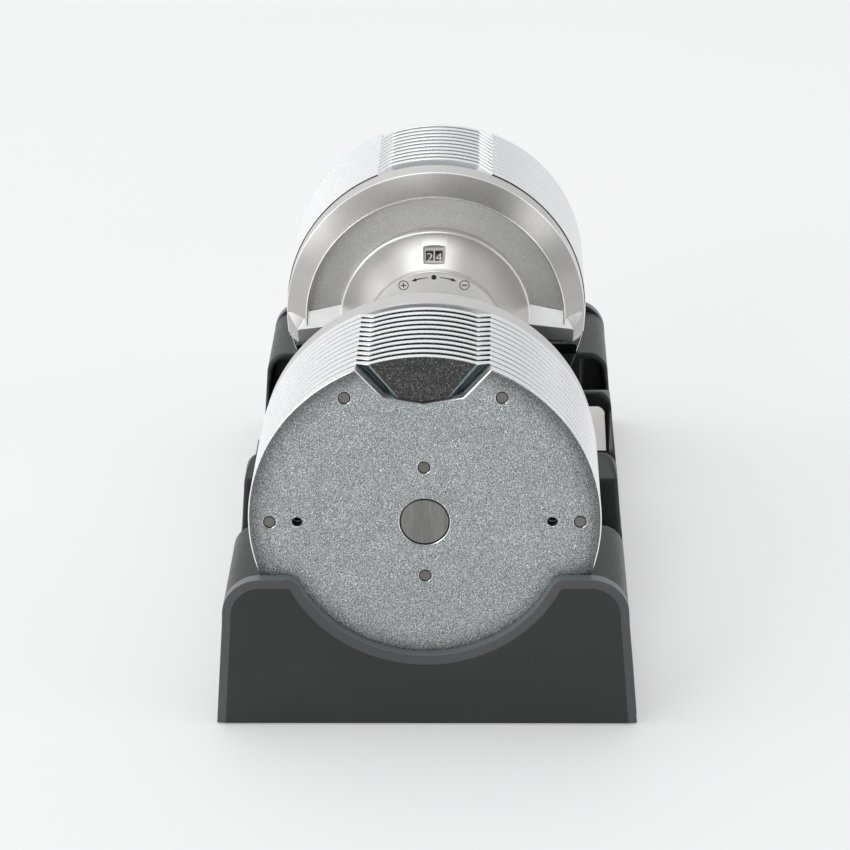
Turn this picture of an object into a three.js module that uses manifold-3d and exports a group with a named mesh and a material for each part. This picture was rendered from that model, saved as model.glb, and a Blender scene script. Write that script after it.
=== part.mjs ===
// Adjustable dumbbell with a twist handle, standing in its cradle.
// Millimetres. +X runs along the handle, +Z is up, the origin is the middle of the footprint on the floor.
import * as THREE from 'three';
import { ConvexGeometry } from 'three/addons/geometries/ConvexGeometry.js';
import { mergeVertices } from 'three/addons/utils/BufferGeometryUtils.js';
import Module from 'manifold-3d';

// ---------- driving dimensions ----------
const AXIS_Z = 111;            // handle axis above the floor
const PLATE_R = 89;            // weight plate radius
const PLATE_COUNT = 11;        // removable plates per side
const PITCH = 6.5;             // plate to plate
const PLATE_T = 6.2;           // plate thickness
const FACE_X = 192;            // outer face of the outermost plate
const BORE_R = 12.6;           // centre bore of every plate
const PEEP_R = 2.55;           // small through hole either side of the bore
const PEEP_Y = 64.3;
const END_OUT_X = FACE_X - PITCH * PLATE_COUNT;   // 120.5, fixed end plate outer face
const END_IN_X = 113.8;
const HEAD_OUT_X = 113.5;      // head casting, plate side
const RIM_X = 98.8;            // head casting, rim plane facing the handle
const HEAD_R = 88.2;
const HEAD_FLAT = -17;         // flat underside of the head's shield, below the axis
const HUB_R = 56.2;
const COLLAR_X = 64;           // front wall of the hub
const BAR_R = 12.15;
const BAR_IN_X = 75;           // inner end of a locking bar with all plates taken
const BAR_FLAT = -10.2;        // anti-turn flat on the underside of the bar
const TUBE_R = 15, TUBE_RI = 12.7, TUBE_X = 94;
const PIN_X = 80, PIN_R = 2.5;
const TRAVEL = PITCH * PLATE_COUNT;  // bar travel over the full twist
const TWIST = 330 * Math.PI / 180;   // full twist of the handle
const GRIP_R = 17, GRIP_RI = 15.3, GRIP_X = 61.9;
const GAP = 0.3;
const CR_X = 200.9, CR_BASE_Y = 108.2, CR_TOP = 84.5;  // cradle half length, half width, wing height
const WALL_IN_X = 193.0;       // inner face of the cradle's end wall
const U_R = 70.4;              // round cut in the end wall
const SHELF_X = 122, BLOCK_X = 64, NOTCH_Z = 37;   // side wall: shelf beside the plates, block in the middle, notch between them

// ---------- materials ----------
const mat = (hex, roughness, metalness) => new THREE.MeshStandardMaterial({ color: hex, roughness, metalness });
const M = {
  paint: () => mat(0x8b9090, 0.55, 0.5),
  steel: () => mat(0xb4b6b6, 0.35, 1.0),
  cast: () => mat(0xb5b1ac, 0.42, 0.9),
  plastic: () => mat(0x26282a, 0.6, 0.0),
  rubber: () => mat(0x111111, 0.9, 0.0),
  white: () => mat(0xd8d4cc, 0.6, 0.0),
  lens: () => mat(0xc8d0d2, 0.1, 0.0),
  dial: () => mat(0x1b1c1d, 0.5, 0.0),
  bronze: () => mat(0xa0793c, 0.4, 0.9),
};

// faces outwards: the winding is turned round where a profile was listed the other way
function outward(g) {
  const p = g.attributes.position, ix = g.index ? Array.from(g.index.array) : Array.from({ length: p.count }, (_, i) => i);
  const a = new THREE.Vector3(), b = new THREE.Vector3(), c = new THREE.Vector3();
  let v = 0;
  for (let i = 0; i < ix.length; i += 3) {
    a.fromBufferAttribute(p, ix[i]); b.fromBufferAttribute(p, ix[i + 1]); c.fromBufferAttribute(p, ix[i + 2]);
    v += a.dot(b.cross(c));
  }
  if (v < 0) for (let i = 0; i < ix.length; i += 3) { const t = ix[i]; ix[i] = ix[i + 1]; ix[i + 1] = t; }
  g.setIndex(ix); return g;
}

// ---------- boolean helpers ----------
const wasm = await Module();
wasm.setup();
function solid(geo) {
  const g = geo.clone();
  for (const k of Object.keys(g.attributes)) if (k !== 'position') g.deleteAttribute(k);
  const m = mergeVertices(g, 1e-4);
  const idx = m.index.array, keep = [];
  for (let i = 0; i < idx.length; i += 3) {
    const a = idx[i], b = idx[i + 1], c = idx[i + 2];
    if (a !== b && b !== c && a !== c) keep.push(a, b, c);
  }
  return new wasm.Manifold(new wasm.Mesh({ numProp: 3, vertProperties: new Float32Array(m.attributes.position.array), triVerts: new Uint32Array(keep) }));
}
function geom(man) {
  const r = man.getMesh();
  const g = new THREE.BufferGeometry();
  g.setAttribute('position', new THREE.BufferAttribute(new Float32Array(r.vertProperties), 3));
  g.setIndex(new THREE.BufferAttribute(new Uint32Array(r.triVerts), 1));
  g.computeVertexNormals();
  return g;
}
const cut = (a, ...bs) => bs.reduce((x, b) => x.subtract(b), a);
const join = (a, ...bs) => bs.reduce((x, b) => x.add(b), a);

// a Y-Z outline extruded along X from x0 to x1
function slabX(pts, x0, x1, holes = []) {
  const s = new THREE.Shape(pts.map(p => new THREE.Vector2(p[0], p[1])));
  for (const h of holes) s.holes.push(new THREE.Path(h.map(p => new THREE.Vector2(p[0], p[1]))));
  const g = new THREE.ExtrudeGeometry(s, { depth: x1 - x0, bevelEnabled: false, steps: 1 });
  // shape x -> Y, shape y -> Z, depth -> X
  g.applyMatrix4(new THREE.Matrix4().set(0, 0, 1, x0, 1, 0, 0, 0, 0, 1, 0, 0, 0, 0, 0, 1));
  return outward(g);
}
const ring = (r, n, cy = 0, cz = 0, a0 = 0) => Array.from({ length: n }, (_, i) => {
  const a = a0 + 2 * Math.PI * i / n; return [cy + r * Math.cos(a), cz + r * Math.sin(a)];
});
// a closed (radius, x) outline turned about the X axis
function turnX(pts, seg) {
  const g = new THREE.LatheGeometry(pts.concat([pts[0]]).map(p => new THREE.Vector2(p[0], p[1])), seg);
  g.applyMatrix4(new THREE.Matrix4().set(0, 1, 0, 0, 1, 0, 0, 0, 0, 0, -1, 0, 0, 0, 0, 1));
  return outward(g);
}
function rodX(r, x0, x1, seg, y = 0, z = 0) { return slabX(ring(r, seg, y, z), x0, x1); }
function rodZ(r, z0, z1, seg, x = 0, y = 0) {
  const g = new THREE.CylinderGeometry(r, r, z1 - z0, seg);
  g.rotateX(Math.PI / 2); g.translate(x, y, (z0 + z1) / 2); return g;
}
function box(x0, x1, y0, y1, z0, z1) {
  const g = new THREE.BoxGeometry(x1 - x0, y1 - y0, z1 - z0);
  g.translate((x0 + x1) / 2, (y0 + y1) / 2, (z0 + z1) / 2); return g;
}

const root = new THREE.Group();
const bell = new THREE.Group(); bell.position.set(0, 0, AXIS_Z); root.add(bell);   // everything on the handle axis
const right = new THREE.Group(); bell.add(right);
const left = new THREE.Group(); left.rotation.z = Math.PI; bell.add(left);
function put(group, name, geo, material) {
  const m = new THREE.Mesh(geo, material); m.name = name; group.add(m); return m;
}
function both(name, geo, material) {
  put(right, name + '_right', geo, material()); put(left, name + '_left', geo.clone(), material());
}

// ---------- weight plates ----------
// the notch at the top of a plate, in Y-Z
const NOTCH = [[41.5, 91], [20.0, 67.6], [0, 64.0], [-20.0, 67.6], [-41.5, 91]];
const DISC_SEG = 36;
function plateDisc(t, withHat, peep) {
  let m = solid(rodX(PLATE_R, -t, 0, DISC_SEG));
  m = cut(m, solid(slabX(NOTCH.slice().reverse(), -t - 1, 1)), solid(rodX(BORE_R + 0.1, -t - 1, 1, 16)));
  if (peep) m = cut(m, solid(rodX(PEEP_R, -t - 1, 1, 6, PEEP_Y)), solid(rodX(PEEP_R, -t - 1, 1, 6, -PEEP_Y)));
  if (withHat) {
    const V = (x, y, z) => new THREE.Vector3(x, y, z);
    const flat = solid(slabX([[33.7, 92], [-33.7, 92], [-13, 66.9], [0, 64.8], [13, 66.9]].reverse(), 1.3, 4.5));
    const flank = s => solid(new ConvexGeometry([
      V(4.5, s * 33.4, 92), V(4.5, s * 13.3, 68.0), V(1.6, s * 31, 92), V(1.6, s * 10.8, 68.0),
      V(-3.6, s * 43.5, 92), V(-3.6, s * 21.65, 68.2), V(-5.9, s * 42.8, 92), V(-5.9, s * 20.9, 68.2)]));
    let hat = join(flat, flank(1), flank(-1));
    hat = hat.intersect(solid(rodX(PLATE_R, -10, 10, DISC_SEG)));
    m = m.add(hat);
  }
  return geom(m);
}
const outer = plateDisc(PLATE_T, false, true);
const second = plateDisc(PLATE_T, true, true);
const inner = plateDisc(PLATE_T, true, false);
for (let k = 0; k < PLATE_COUNT; k++) {
  const name = 'plate_' + String(k + 1).padStart(2, '0');
  for (const [grp, side] of [[right, '_right'], [left, '_left']]) {
    const g = k === 0 ? outer : k < 3 ? second : inner;
    const mesh = put(grp, name + side, g.clone(), M.paint());
    mesh.position.x = FACE_X - PITCH * k;
  }
}

// ---------- fixed end plate, carrying the head ----------
const SCREW = [[50, 38], [-50, 38]];
{
  const t = END_OUT_X - END_IN_X;
  let m = solid(plateDisc(t, true, false).toNonIndexed());
  for (const [y, z] of SCREW) m = cut(m, solid(rodX(3.3, -t - 1, 1, 10, y, z)), solid(rodX(6.0, -3.4, 1, 12, y, z)));
  const g = geom(m); g.translate(END_OUT_X, 0, 0);
  both('end_plate', g, M.paint);
  SCREW.forEach(([y, z], i) => {
    const s = join(solid(rodX(5.6, END_OUT_X - 3.1, END_OUT_X - 0.2, 12, y, z)), solid(rodX(3.0, 102, END_OUT_X - 3.0, 8, y, z)));
    both('head_screw_' + (i + 1), geom(s), M.steel);
  });
}

// ---------- head casting: D-shaped shield with a turned hub ----------
{
  const SEG = 36;
  // shield, turned profile with its recess
  const shield = solid(turnX([
    [0, HEAD_OUT_X], [HEAD_R, HEAD_OUT_X], [HEAD_R, RIM_X], [75.7, RIM_X - 9.5], [74.6, RIM_X - 5], [0, RIM_X - 5]], SEG));
  // bar across the foot of the shield, its top sloped, its underside chamfered
  const bar = solid(new ConvexGeometry([
    ...[-90, 90].flatMap(y => [[RIM_X - 4.5, y, 5.0], [RIM_X - 10, y, -3.8], [RIM_X - 10, y, -11], [RIM_X + 0.5, y, -17.5], [RIM_X + 8, y, -17.5], [RIM_X + 8, y, 5.0]])
  ].map(p => new THREE.Vector3(...p))));
  const cone = solid(turnX([[0, HEAD_OUT_X], [HEAD_R, HEAD_OUT_X], [HEAD_R, RIM_X], [76.4, RIM_X - 10.1], [0, RIM_X - 10.1]], SEG));
  let m = shield.add(bar.intersect(cone));
  m = cut(m, solid(new ConvexGeometry([...[-95, 95].flatMap(y => [[RIM_X - 12, y, -10.6], [RIM_X, y, HEAD_FLAT], [HEAD_OUT_X + 2, y, HEAD_FLAT], [HEAD_OUT_X + 2, y, -95], [RIM_X - 12, y, -95]])].map(p => new THREE.Vector3(...p)))));
  // hub
  const hub = solid(turnX([
    [0, HEAD_OUT_X], [HUB_R, HEAD_OUT_X], [HUB_R, RIM_X - 9.5], [54.2, RIM_X - 12], [41, RIM_X - 33], [39.6, COLLAR_X], [0, COLLAR_X]], SEG));
  m = m.add(hub);
  // inside: chamber for the lock, dial and guide plate, open to the end plate
  const chamber = solid(turnX([
    [0, HEAD_OUT_X + 1], [50, HEAD_OUT_X + 1], [50, 86], [37.5, 68], [0, 68]], 28));
  m = cut(m, chamber, solid(rodX(15.4, 60, 70, 24)));
  // window over the dial and slot for the lock's leg
  m = cut(m, solid(box(70, 80.5, -6, 6, 30, 62)), solid(box(83.2, 88.2, -5.6, 5.6, -60, -40)));
  for (const [y, z] of SCREW) m = cut(m, solid(rodX(3.3, 100, 115, 10, y, z)));
  both('head_casting', geom(m), M.cast);
}
// window lens, lying in the window along the cone
{
  const g = new THREE.BoxGeometry(9.4, 11.3, 1.2);
  g.rotateY(-Math.atan2(13, 21)); g.translate(75.25, 0, 45.2);
  both('window_lens', g, M.lens);
}
// printed ring with the turn arrows
both('arrow_ring', turnX([[17.6, 62.2], [17.6, 63.7], [39.4, 63.7], [38.4, 62.2]], 30), M.cast);

// ---------- guide plate: keyed bore that stops the bar turning ----------
function barOutline(r, flat, n = 16) {
  const pts = [];
  const a = Math.asin(flat / r);
  for (let i = 0; i <= n; i++) { const t = a + (Math.PI - 2 * a) * i / n; pts.push([r * Math.cos(t), r * Math.sin(t)]); }
  return pts;
}
{
  const g = slabX(ring(49.0, 28), 106.9, 113.2, [barOutline(BAR_R + 0.25, BAR_FLAT - 0.25).reverse()]);
  both('guide_plate', g, M.steel);
}
// ---------- locking bar and its drive pin ----------
{
  let m = join(solid(slabX(barOutline(BAR_R, BAR_FLAT), BAR_IN_X, 185.2)), solid(rodX(BAR_R, 185, FACE_X, 20)));
  m = cut(m, solid(rodZ(PIN_R + GAP + 0.1, 2, 20, 8, PIN_X, 0)));
  both('locking_bar', geom(m), M.steel);
  both('drive_pin', rodZ(PIN_R, 2.4, 14.6, 10, PIN_X, 0), M.steel);
}
// ---------- helix tube: two opposite-hand slots that drive the pins ----------
{
  let m = solid(slabX(ring(TUBE_R, 24), -TUBE_X, TUBE_X, [ring(TUBE_RI, 24).reverse()]));
  class Helix extends THREE.Curve {
    constructor(side) { super(); this.side = side; }
    getPoint(t, out = new THREE.Vector3()) {
      const u = -0.03 + 1.06 * t, a = Math.PI / 2 + TWIST * u, r = (TUBE_R + TUBE_RI) / 2;
      return out.set(this.side * (PIN_X - TRAVEL * u), r * Math.cos(a), r * Math.sin(a));
    }
    getPointAt(t, out) { return this.getPoint(t, out); }
  }
  const sec = new THREE.Shape(ring(3.55, 8).map(p => new THREE.Vector2(p[0], p[1])));
  for (const side of [1, -1]) {
    const g = new THREE.ExtrudeGeometry(sec, { steps: 13, bevelEnabled: false, extrudePath: new Helix(side) });
    m = cut(m, solid(outward(g)));
  }
  put(bell, 'helix_tube', geom(m), M.steel());
}
// ---------- grip sleeve ----------
put(bell, 'grip_sleeve', turnX([
  [GRIP_RI, -GRIP_X], [GRIP_RI, GRIP_X], [GRIP_R - 0.8, GRIP_X], [GRIP_R, GRIP_X - 1], [GRIP_R, -GRIP_X + 1], [GRIP_R - 0.8, -GRIP_X]], 26), M.steel());

// ---------- number dial, index ring ----------
both('number_dial', turnX([[15.3, 77], [15.3, 80.5], [41.3, 80.5], [43.2, 82.8], [45.8, 82.8], [36.4, 69.3], [34.0, 69.3], [39.2, 77]], 24), M.dial);
{
  const pts = [];
  const N = 12, RO = 22, RN = 18;
  for (let i = 0; i < N; i++) {
    const c = Math.PI / 2 + 2 * Math.PI * i / N, h = Math.PI / N, w = 8.6 * Math.PI / 180;
    pts.push([RN * Math.cos(c - w), RN * Math.sin(c - w)], [RN * Math.cos(c + w), RN * Math.sin(c + w)],
      [RO * Math.cos(c + w * 1.05), RO * Math.sin(c + w * 1.05)], [RO * Math.cos(c + 2 * h - w * 1.05), RO * Math.sin(c + 2 * h - w * 1.05)]);
  }
  both('index_ring', slabX(pts, 83.6, 93.6, [ring(15.3, 20).reverse()]), M.steel);
}
// ---------- lock slider, its spring, detent plunger ----------
{
  const outline = [[-5, -57], [5, -57], [5, -30], [28, -28], [28, 36], [-28, 36], [-28, -28], [-5, -30]];
  const hole = [[-23.6, -23.4], [23.6, -23.4], [23.6, 29.5], [2, 29.5], [2, 24], [-2, 24], [-2, 29.5], [-23.6, 29.5]];
  both('lock_slider', slabX(outline, 84, 87.6, [hole.slice().reverse()]), M.steel);
  class Coil extends THREE.Curve {
    getPoint(t, out = new THREE.Vector3()) { const a = 2 * Math.PI * 4.5 * t; return out.set(85.8 + 2.6 * Math.cos(a), 2.6 * Math.sin(a), 37.1 + 9.6 * t); }
    getPointAt(t, out) { return this.getPoint(t, out); }
  }
  const sec = new THREE.Shape(ring(0.5, 5).map(p => new THREE.Vector2(p[0], p[1])));
  both('lock_spring', outward(new THREE.ExtrudeGeometry(sec, { steps: 30, bevelEnabled: false, extrudePath: new Coil() })), M.steel);
  // plunger that clicks over the index ring
  const g = new THREE.LatheGeometry([[0, 22.5], [1.2, 22.9], [2, 23.8], [2, 34], [3.4, 34], [3.4, 47], [0, 47]].map(p => new THREE.Vector2(p[0], p[1])), 10);
  g.translate(91, 0, 0);
  both('detent_plunger', outward(g), M.steel);
}

// ---------- cradle ----------
{
  const outline = [[-CR_BASE_Y, 0.8], [CR_BASE_Y, 0.8], [103.6, 58], [101.6, 67], [97.2, 75.5], [90.6, 81.6], [82, CR_TOP],
    [-82, CR_TOP], [-90.6, 81.6], [-97.2, 75.5], [-101.6, 67], [-103.6, 58]];
  const shelf = [[-CR_BASE_Y, 0.8], [CR_BASE_Y, 0.8], [103.6, 58], [101.8, 68.5], [99, 72.8], [95.5, 75.6], [91, 77],
    [-91, 77], [-95.5, 75.6], [-99, 72.8], [-101.8, 68.5], [-103.6, 58]];
  const block = [[-CR_BASE_Y, 0.8], [CR_BASE_Y, 0.8], [102.2, 76.5], [100.4, 80.9], [96.8, 83.7], [92, CR_TOP],
    [-92, CR_TOP], [-96.8, 83.7], [-100.4, 80.9], [-102.2, 76.5]];
  const prismY = (pts, y0, y1) => {   // an X-Z outline extruded along Y
    const g = new THREE.ExtrudeGeometry(new THREE.Shape(pts.map(p => new THREE.Vector2(p[0], p[1]))), { depth: y1 - y0, bevelEnabled: false, steps: 1 });
    g.rotateX(Math.PI / 2); g.translate(0, y1, 0); return outward(g);
  };
  let m = join(solid(slabX(outline, WALL_IN_X, CR_X)), solid(slabX(outline, -CR_X, -WALL_IN_X)),
    solid(slabX(shelf, BLOCK_X - 1, WALL_IN_X + 1)), solid(slabX(shelf, -WALL_IN_X - 1, -BLOCK_X + 1)),
    solid(slabX(block, -BLOCK_X, BLOCK_X)));
  for (const s of [1, -1]) {
    const X = (a, b) => (s > 0 ? [a, b] : [-b, -a]);
    const mir = pts => (s > 0 ? pts : pts.map(p => [-p[0], p[1]]).reverse());
    // the middle block's top slopes down towards the notch
    m = cut(m, solid(prismY(mir([[45, CR_TOP], [BLOCK_X, 77], [BLOCK_X + 0.5, 77], [BLOCK_X + 0.5, 95], [45, 95]]), -120, 120)));
    // trough for the plates
    m = cut(m, solid(rodX(PLATE_R + 0.5, ...X(HEAD_OUT_X - 0.5, WALL_IN_X), 44, 0, AXIS_Z)));
    // clearance for the hub and for the fingers
    m = cut(m, solid(rodX(60, ...X(42, HEAD_OUT_X), 32, 0, AXIS_Z)));
    // flat floor under the hub, round the release post
    m = cut(m, solid(box(...X(42, HEAD_OUT_X - 0.5), -34, 34, 46, 100)));
    // round cut in the end wall, flaring into the wings
    const arc = [];
    const a0 = Math.atan2(-33, Math.sqrt(U_R * U_R - 33 * 33));
    for (let i = 0; i <= 20; i++) { const a = a0 - (Math.PI + 2 * a0) * i / 20; arc.push([U_R * Math.cos(a), AXIS_Z + U_R * Math.sin(a)]); }
    const cutU = [[90, 120], [90, 120 - 10], [70.5, 100], [70.5, 84.6], [66.6, 82.6], ...arc, [-66.6, 82.6], [-70.5, 84.6], [-70.5, 100], [-90, 110], [-90, 120]];
    m = cut(m, solid(slabX(cutU.slice().reverse(), ...X(192, 202))));
    for (const t of [1, -1]) {
      // notch in the side wall, open to the outside
      m = cut(m, solid(box(...X(BLOCK_X, SHELF_X), ...(t > 0 ? [76, 120] : [-120, -76]), NOTCH_Z, 95)));
    }
    m = cut(m, solid(rodZ(5.3, 39.7, 60, 12, s * 85.8, 0)));
    for (const t of [1, -1]) m = cut(m, solid(rodZ(8.4, 0, 3.3, 16, s * 172, t * 86)));
  }
  // open middle: a thin outer wall stays on the +Y side, the -Y side is open as far as the notch
  m = cut(m, solid(box(-43, 43, -120, 101.0, 46, 100)), solid(box(-43, 43, 100, 120, 79, 100)),
    solid(box(-BLOCK_X - 0.1, -42, -120, -50, 46, 100)));
  put(root, 'cradle_tray', geom(m), M.plastic());
  let i = 1;
  for (const s of [1, -1]) for (const t of [1, -1]) put(root, 'foot_' + i++, rodZ(8, 0, 3, 16, s * 172, t * 86), M.rubber());
  put(root, 'release_post_right', rodZ(5, 40, 53.7, 12, 85.8, 0), M.plastic());
  put(root, 'release_post_left', rodZ(5, 40, 53.7, 12, -85.8, 0), M.plastic());
  put(root, 'tray_label', box(-42.7, -42.2, 78, 99.8, 47.5, 75.5), M.white());
}

export default root;
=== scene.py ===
# Adjustable dumbbell in its cradle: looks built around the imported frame. Metres in the scene, millimetres in the shape code.
import math
import bpy
import bmesh
import numpy as np
from mathutils import Matrix, Vector
from mathutils.geometry import tessellate_polygon

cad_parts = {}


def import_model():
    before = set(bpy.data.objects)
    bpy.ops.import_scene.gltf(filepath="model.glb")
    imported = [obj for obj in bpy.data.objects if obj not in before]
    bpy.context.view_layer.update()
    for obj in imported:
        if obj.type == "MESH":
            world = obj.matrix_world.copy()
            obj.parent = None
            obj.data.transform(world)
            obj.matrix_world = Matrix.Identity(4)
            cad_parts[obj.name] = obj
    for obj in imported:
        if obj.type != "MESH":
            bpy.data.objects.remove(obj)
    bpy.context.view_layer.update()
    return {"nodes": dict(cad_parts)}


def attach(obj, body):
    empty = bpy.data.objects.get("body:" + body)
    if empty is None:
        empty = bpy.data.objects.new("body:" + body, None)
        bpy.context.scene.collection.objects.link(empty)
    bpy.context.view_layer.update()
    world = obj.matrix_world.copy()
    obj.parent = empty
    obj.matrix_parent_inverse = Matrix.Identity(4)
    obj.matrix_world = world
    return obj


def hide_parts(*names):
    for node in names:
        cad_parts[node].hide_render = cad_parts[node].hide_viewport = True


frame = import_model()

scene = bpy.context.scene
AZ = 111.0                      # handle axis above the floor
R = 89.0                        # plate radius
FACE, PITCH, COUNT = 192.0, 6.5, 11

# ------------------------------------------------------------------ camera
F_PX = 3000.0
yaw, pit, rol = (math.radians(v) for v in (-1.574, 23.129, -0.706))
f = np.array([-math.cos(pit) * math.cos(yaw), math.cos(pit) * math.sin(yaw), -math.sin(pit)])
r0 = np.array([math.sin(yaw), math.cos(yaw), 0.0])
u0 = np.cross(r0, f)
rr = r0 * math.cos(rol) + u0 * math.sin(rol)
uu = -r0 * math.sin(rol) + u0 * math.cos(rol)
cam_data = bpy.data.cameras.new("camera")
cam = bpy.data.objects.new("camera", cam_data)
scene.collection.objects.link(cam)
cam_data.sensor_fit = 'HORIZONTAL'
cam_data.sensor_width = 36.0
cam_data.lens = F_PX * 36.0 / 850.0
cam_data.clip_end = 50.0
M = Matrix.Identity(4)
for i in range(3):
    M[i][0], M[i][1], M[i][2] = rr[i], uu[i], -f[i]
M[0][3], M[1][3], M[2][3] = 1.5599, 0.0384, 0.7486
cam.matrix_world = M
scene.camera = cam
scene.view_settings.view_transform = 'Standard'


# ------------------------------------------------------------------ materials
class Mat:
    def __init__(s, name, coat=0.0, coat_rough=0.1, metallic=0.0, rough=0.5, spec=0.5, aniso=0.0):
        s.m = bpy.data.materials.new(name)
        s.m.use_nodes = True
        s.t = s.m.node_tree
        s.t.nodes.clear()
        s.out = s.n('ShaderNodeOutputMaterial')
        s.b = s.n('ShaderNodeBsdfPrincipled')
        s.l(s.b.outputs['BSDF'], s.out.inputs['Surface'])
        s.b.inputs['Metallic'].default_value = metallic
        s.b.inputs['Roughness'].default_value = rough
        s.b.inputs['Specular IOR Level'].default_value = spec
        s.b.inputs['Coat Weight'].default_value = coat
        s.b.inputs['Coat Roughness'].default_value = coat_rough
        s.b.inputs['Anisotropic'].default_value = aniso
        s.obj = s.n('ShaderNodeTexCoord').outputs['Object']

    def n(s, kind, **k):
        node = s.t.nodes.new(kind)
        for a, v in k.items():
            setattr(node, a, v)
        return node

    def l(s, a, b):
        s.t.links.new(a, b)

    def mapped(s, scale=(1, 1, 1), rot=(0, 0, 0), loc=(0, 0, 0)):
        n = s.n('ShaderNodeMapping')
        n.inputs['Scale'].default_value = scale
        n.inputs['Rotation'].default_value = rot
        n.inputs['Location'].default_value = loc
        s.l(s.obj, n.inputs['Vector'])
        return n.outputs['Vector']

    def noise(s, scale, detail=2.0, rough=0.5, vec=None, dist=0.0):
        n = s.n('ShaderNodeTexNoise')
        n.inputs['Scale'].default_value = scale
        n.inputs['Detail'].default_value = detail
        n.inputs['Roughness'].default_value = rough
        n.inputs['Distortion'].default_value = dist
        s.l(vec if vec is not None else s.obj, n.inputs['Vector'])
        return n.outputs['Fac']

    def voronoi(s, scale, vec=None, out='Distance', feature='F1', rand=1.0):
        n = s.n('ShaderNodeTexVoronoi', feature=feature)
        n.inputs['Scale'].default_value = scale
        n.inputs['Randomness'].default_value = rand
        s.l(vec if vec is not None else s.obj, n.inputs['Vector'])
        return n.outputs[out]

    def ramp(s, fac, stops, interp='LINEAR'):
        n = s.n('ShaderNodeValToRGB')
        n.color_ramp.interpolation = interp
        e = n.color_ramp.elements
        while len(e) < len(stops):
            e.new(0.5)
        for el, (p, c) in zip(e, stops):
            el.position = p
            el.color = (c, c, c, 1) if isinstance(c, (int, float)) else (*c, 1)
        s.l(fac, n.inputs['Fac'])
        return n.outputs['Color']

    def mul(s, a, b, fac=1.0, mode='MULTIPLY'):
        n = s.n('ShaderNodeMix', data_type='RGBA', blend_type=mode)
        n.inputs[0].default_value = fac
        s.l(a, n.inputs[6])
        if isinstance(b, tuple):
            n.inputs[7].default_value = (*b, 1)
        else:
            s.l(b, n.inputs[7])
        return n.outputs[2]

    def mixf(s, fac, a, b):
        n = s.n('ShaderNodeMix', data_type='RGBA')
        s.l(fac, n.inputs[0])
        for v, i in ((a, 6), (b, 7)):
            if isinstance(v, tuple):
                n.inputs[i].default_value = (*v, 1)
            else:
                s.l(v, n.inputs[i])
        return n.outputs[2]

    def math(s, op, a, b=None, clamp=False):
        n = s.n('ShaderNodeMath', operation=op, use_clamp=clamp)
        for v, i in ((a, 0), (b, 1)):
            if v is None:
                continue
            if isinstance(v, (int, float)):
                n.inputs[i].default_value = v
            else:
                s.l(v, n.inputs[i])
        return n.outputs[0]

    def maprange(s, v, a, b, c=0.0, d=1.0, smooth=True):
        n = s.n('ShaderNodeMapRange', interpolation_type='SMOOTHSTEP' if smooth else 'LINEAR')
        s.l(v, n.inputs['Value'])
        for k, x in (('From Min', a), ('From Max', b), ('To Min', c), ('To Max', d)):
            n.inputs[k].default_value = x
        return n.outputs['Result']

    def xyz(s, vec=None):
        n = s.n('ShaderNodeSeparateXYZ')
        s.l(vec if vec is not None else s.obj, n.inputs[0])
        return n.outputs

    def radius(s):
        """distance from the handle axis, metres"""
        c = s.xyz(s.mapped(loc=(0, 0, -AZ / 1000)))
        return s.math('SQRT', s.math('ADD', s.math('MULTIPLY', c[1], c[1]), s.math('MULTIPLY', c[2], c[2])))

    def bump(s, *pairs):
        """pairs of (height, distance in metres, strength)"""
        nrm = None
        for h, dist, st in pairs:
            n = s.n('ShaderNodeBump')
            n.inputs['Strength'].default_value = st
            n.inputs['Distance'].default_value = dist
            s.l(h, n.inputs['Height'])
            if nrm is not None:
                s.l(nrm, n.inputs['Normal'])
            nrm = n.outputs['Normal']
        s.l(nrm, s.b.inputs['Normal'])

    def color(s, c):
        s.l(c, s.b.inputs['Base Color'])

    def rough(s, c):
        s.l(c, s.b.inputs['Roughness'])


def m_paint(name, lo, hi, tint, spark=0.35, rough=0.5, edge=0.55, metallic=0.55):
    """grainy metallic plating: fine light and dark grains with sparkling flakes"""
    a = Mat(name, metallic=metallic, rough=rough)
    grain = a.ramp(a.noise(2100, 1.0, 0.5), [(0.30, lo), (0.5, (lo + hi) / 2), (0.72, hi)])
    flakes = a.ramp(a.xyz(a.voronoi(1900, out='Color'))[0], [(0.0, 0.86), (0.72, 1.0), (0.93, 1.0 + spark), (1.0, 1.0 + 1.9 * spark)])
    c = a.mul(grain, flakes)
    blotch = a.ramp(a.noise(55, 3.0, 0.6), [(0.3, 0.93), (0.7, 1.05)])
    c = a.mul(c, blotch)
    c = a.mul(c, tint)
    # painted shade: the face darkens towards the rolled edge, standing in for the dim surroundings that edge reflects
    rad = a.radius()
    c = a.mul(c, a.ramp(a.maprange(rad, 0.074, 0.0888), [(0.0, 1.0), (0.65, 1.0 - (1.0 - edge) * 0.45), (1.0, edge)]))
    a.color(c)
    a.rough(a.ramp(a.noise(900, 2.0, 0.6), [(0.25, rough - 0.08), (0.75, rough + 0.12)]))
    a.bump((a.noise(1500, 2.0, 0.65), 0.00012, 0.55), (a.voronoi(1900), 0.0001, 0.3))
    return a.m


def m_metal(name, base, rough, aniso=0.0, streak=None, tint=(1, 1, 1), var=0.06, bump=0.25, grain=600.0, metallic=1.0):
    """bare machined or brushed metal; streak is the stretch of the tool marks along X, Y, Z"""
    a = Mat(name, metallic=metallic, rough=rough, aniso=aniso)
    vec = a.mapped(scale=streak) if streak else None
    n1 = a.noise(grain, 3.0, 0.6, vec)
    n2 = a.noise(30, 3.0, 0.6)
    c = a.ramp(n1, [(0.25, base * (1 - var)), (0.75, min(1.0, base * (1 + var)))])
    c = a.mul(c, a.ramp(n2, [(0.3, 1.0 - var * 0.6), (0.7, 1.0)]))
    c = a.mul(c, tint)
    a.color(c)
    a.rough(a.ramp(n1, [(0.2, max(0.05, rough - 0.07)), (0.8, rough + 0.09)]))
    a.bump((n1, 0.00006, bump))
    return a.m


# edge sets how dark the painted shade towards the rim gets
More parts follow.
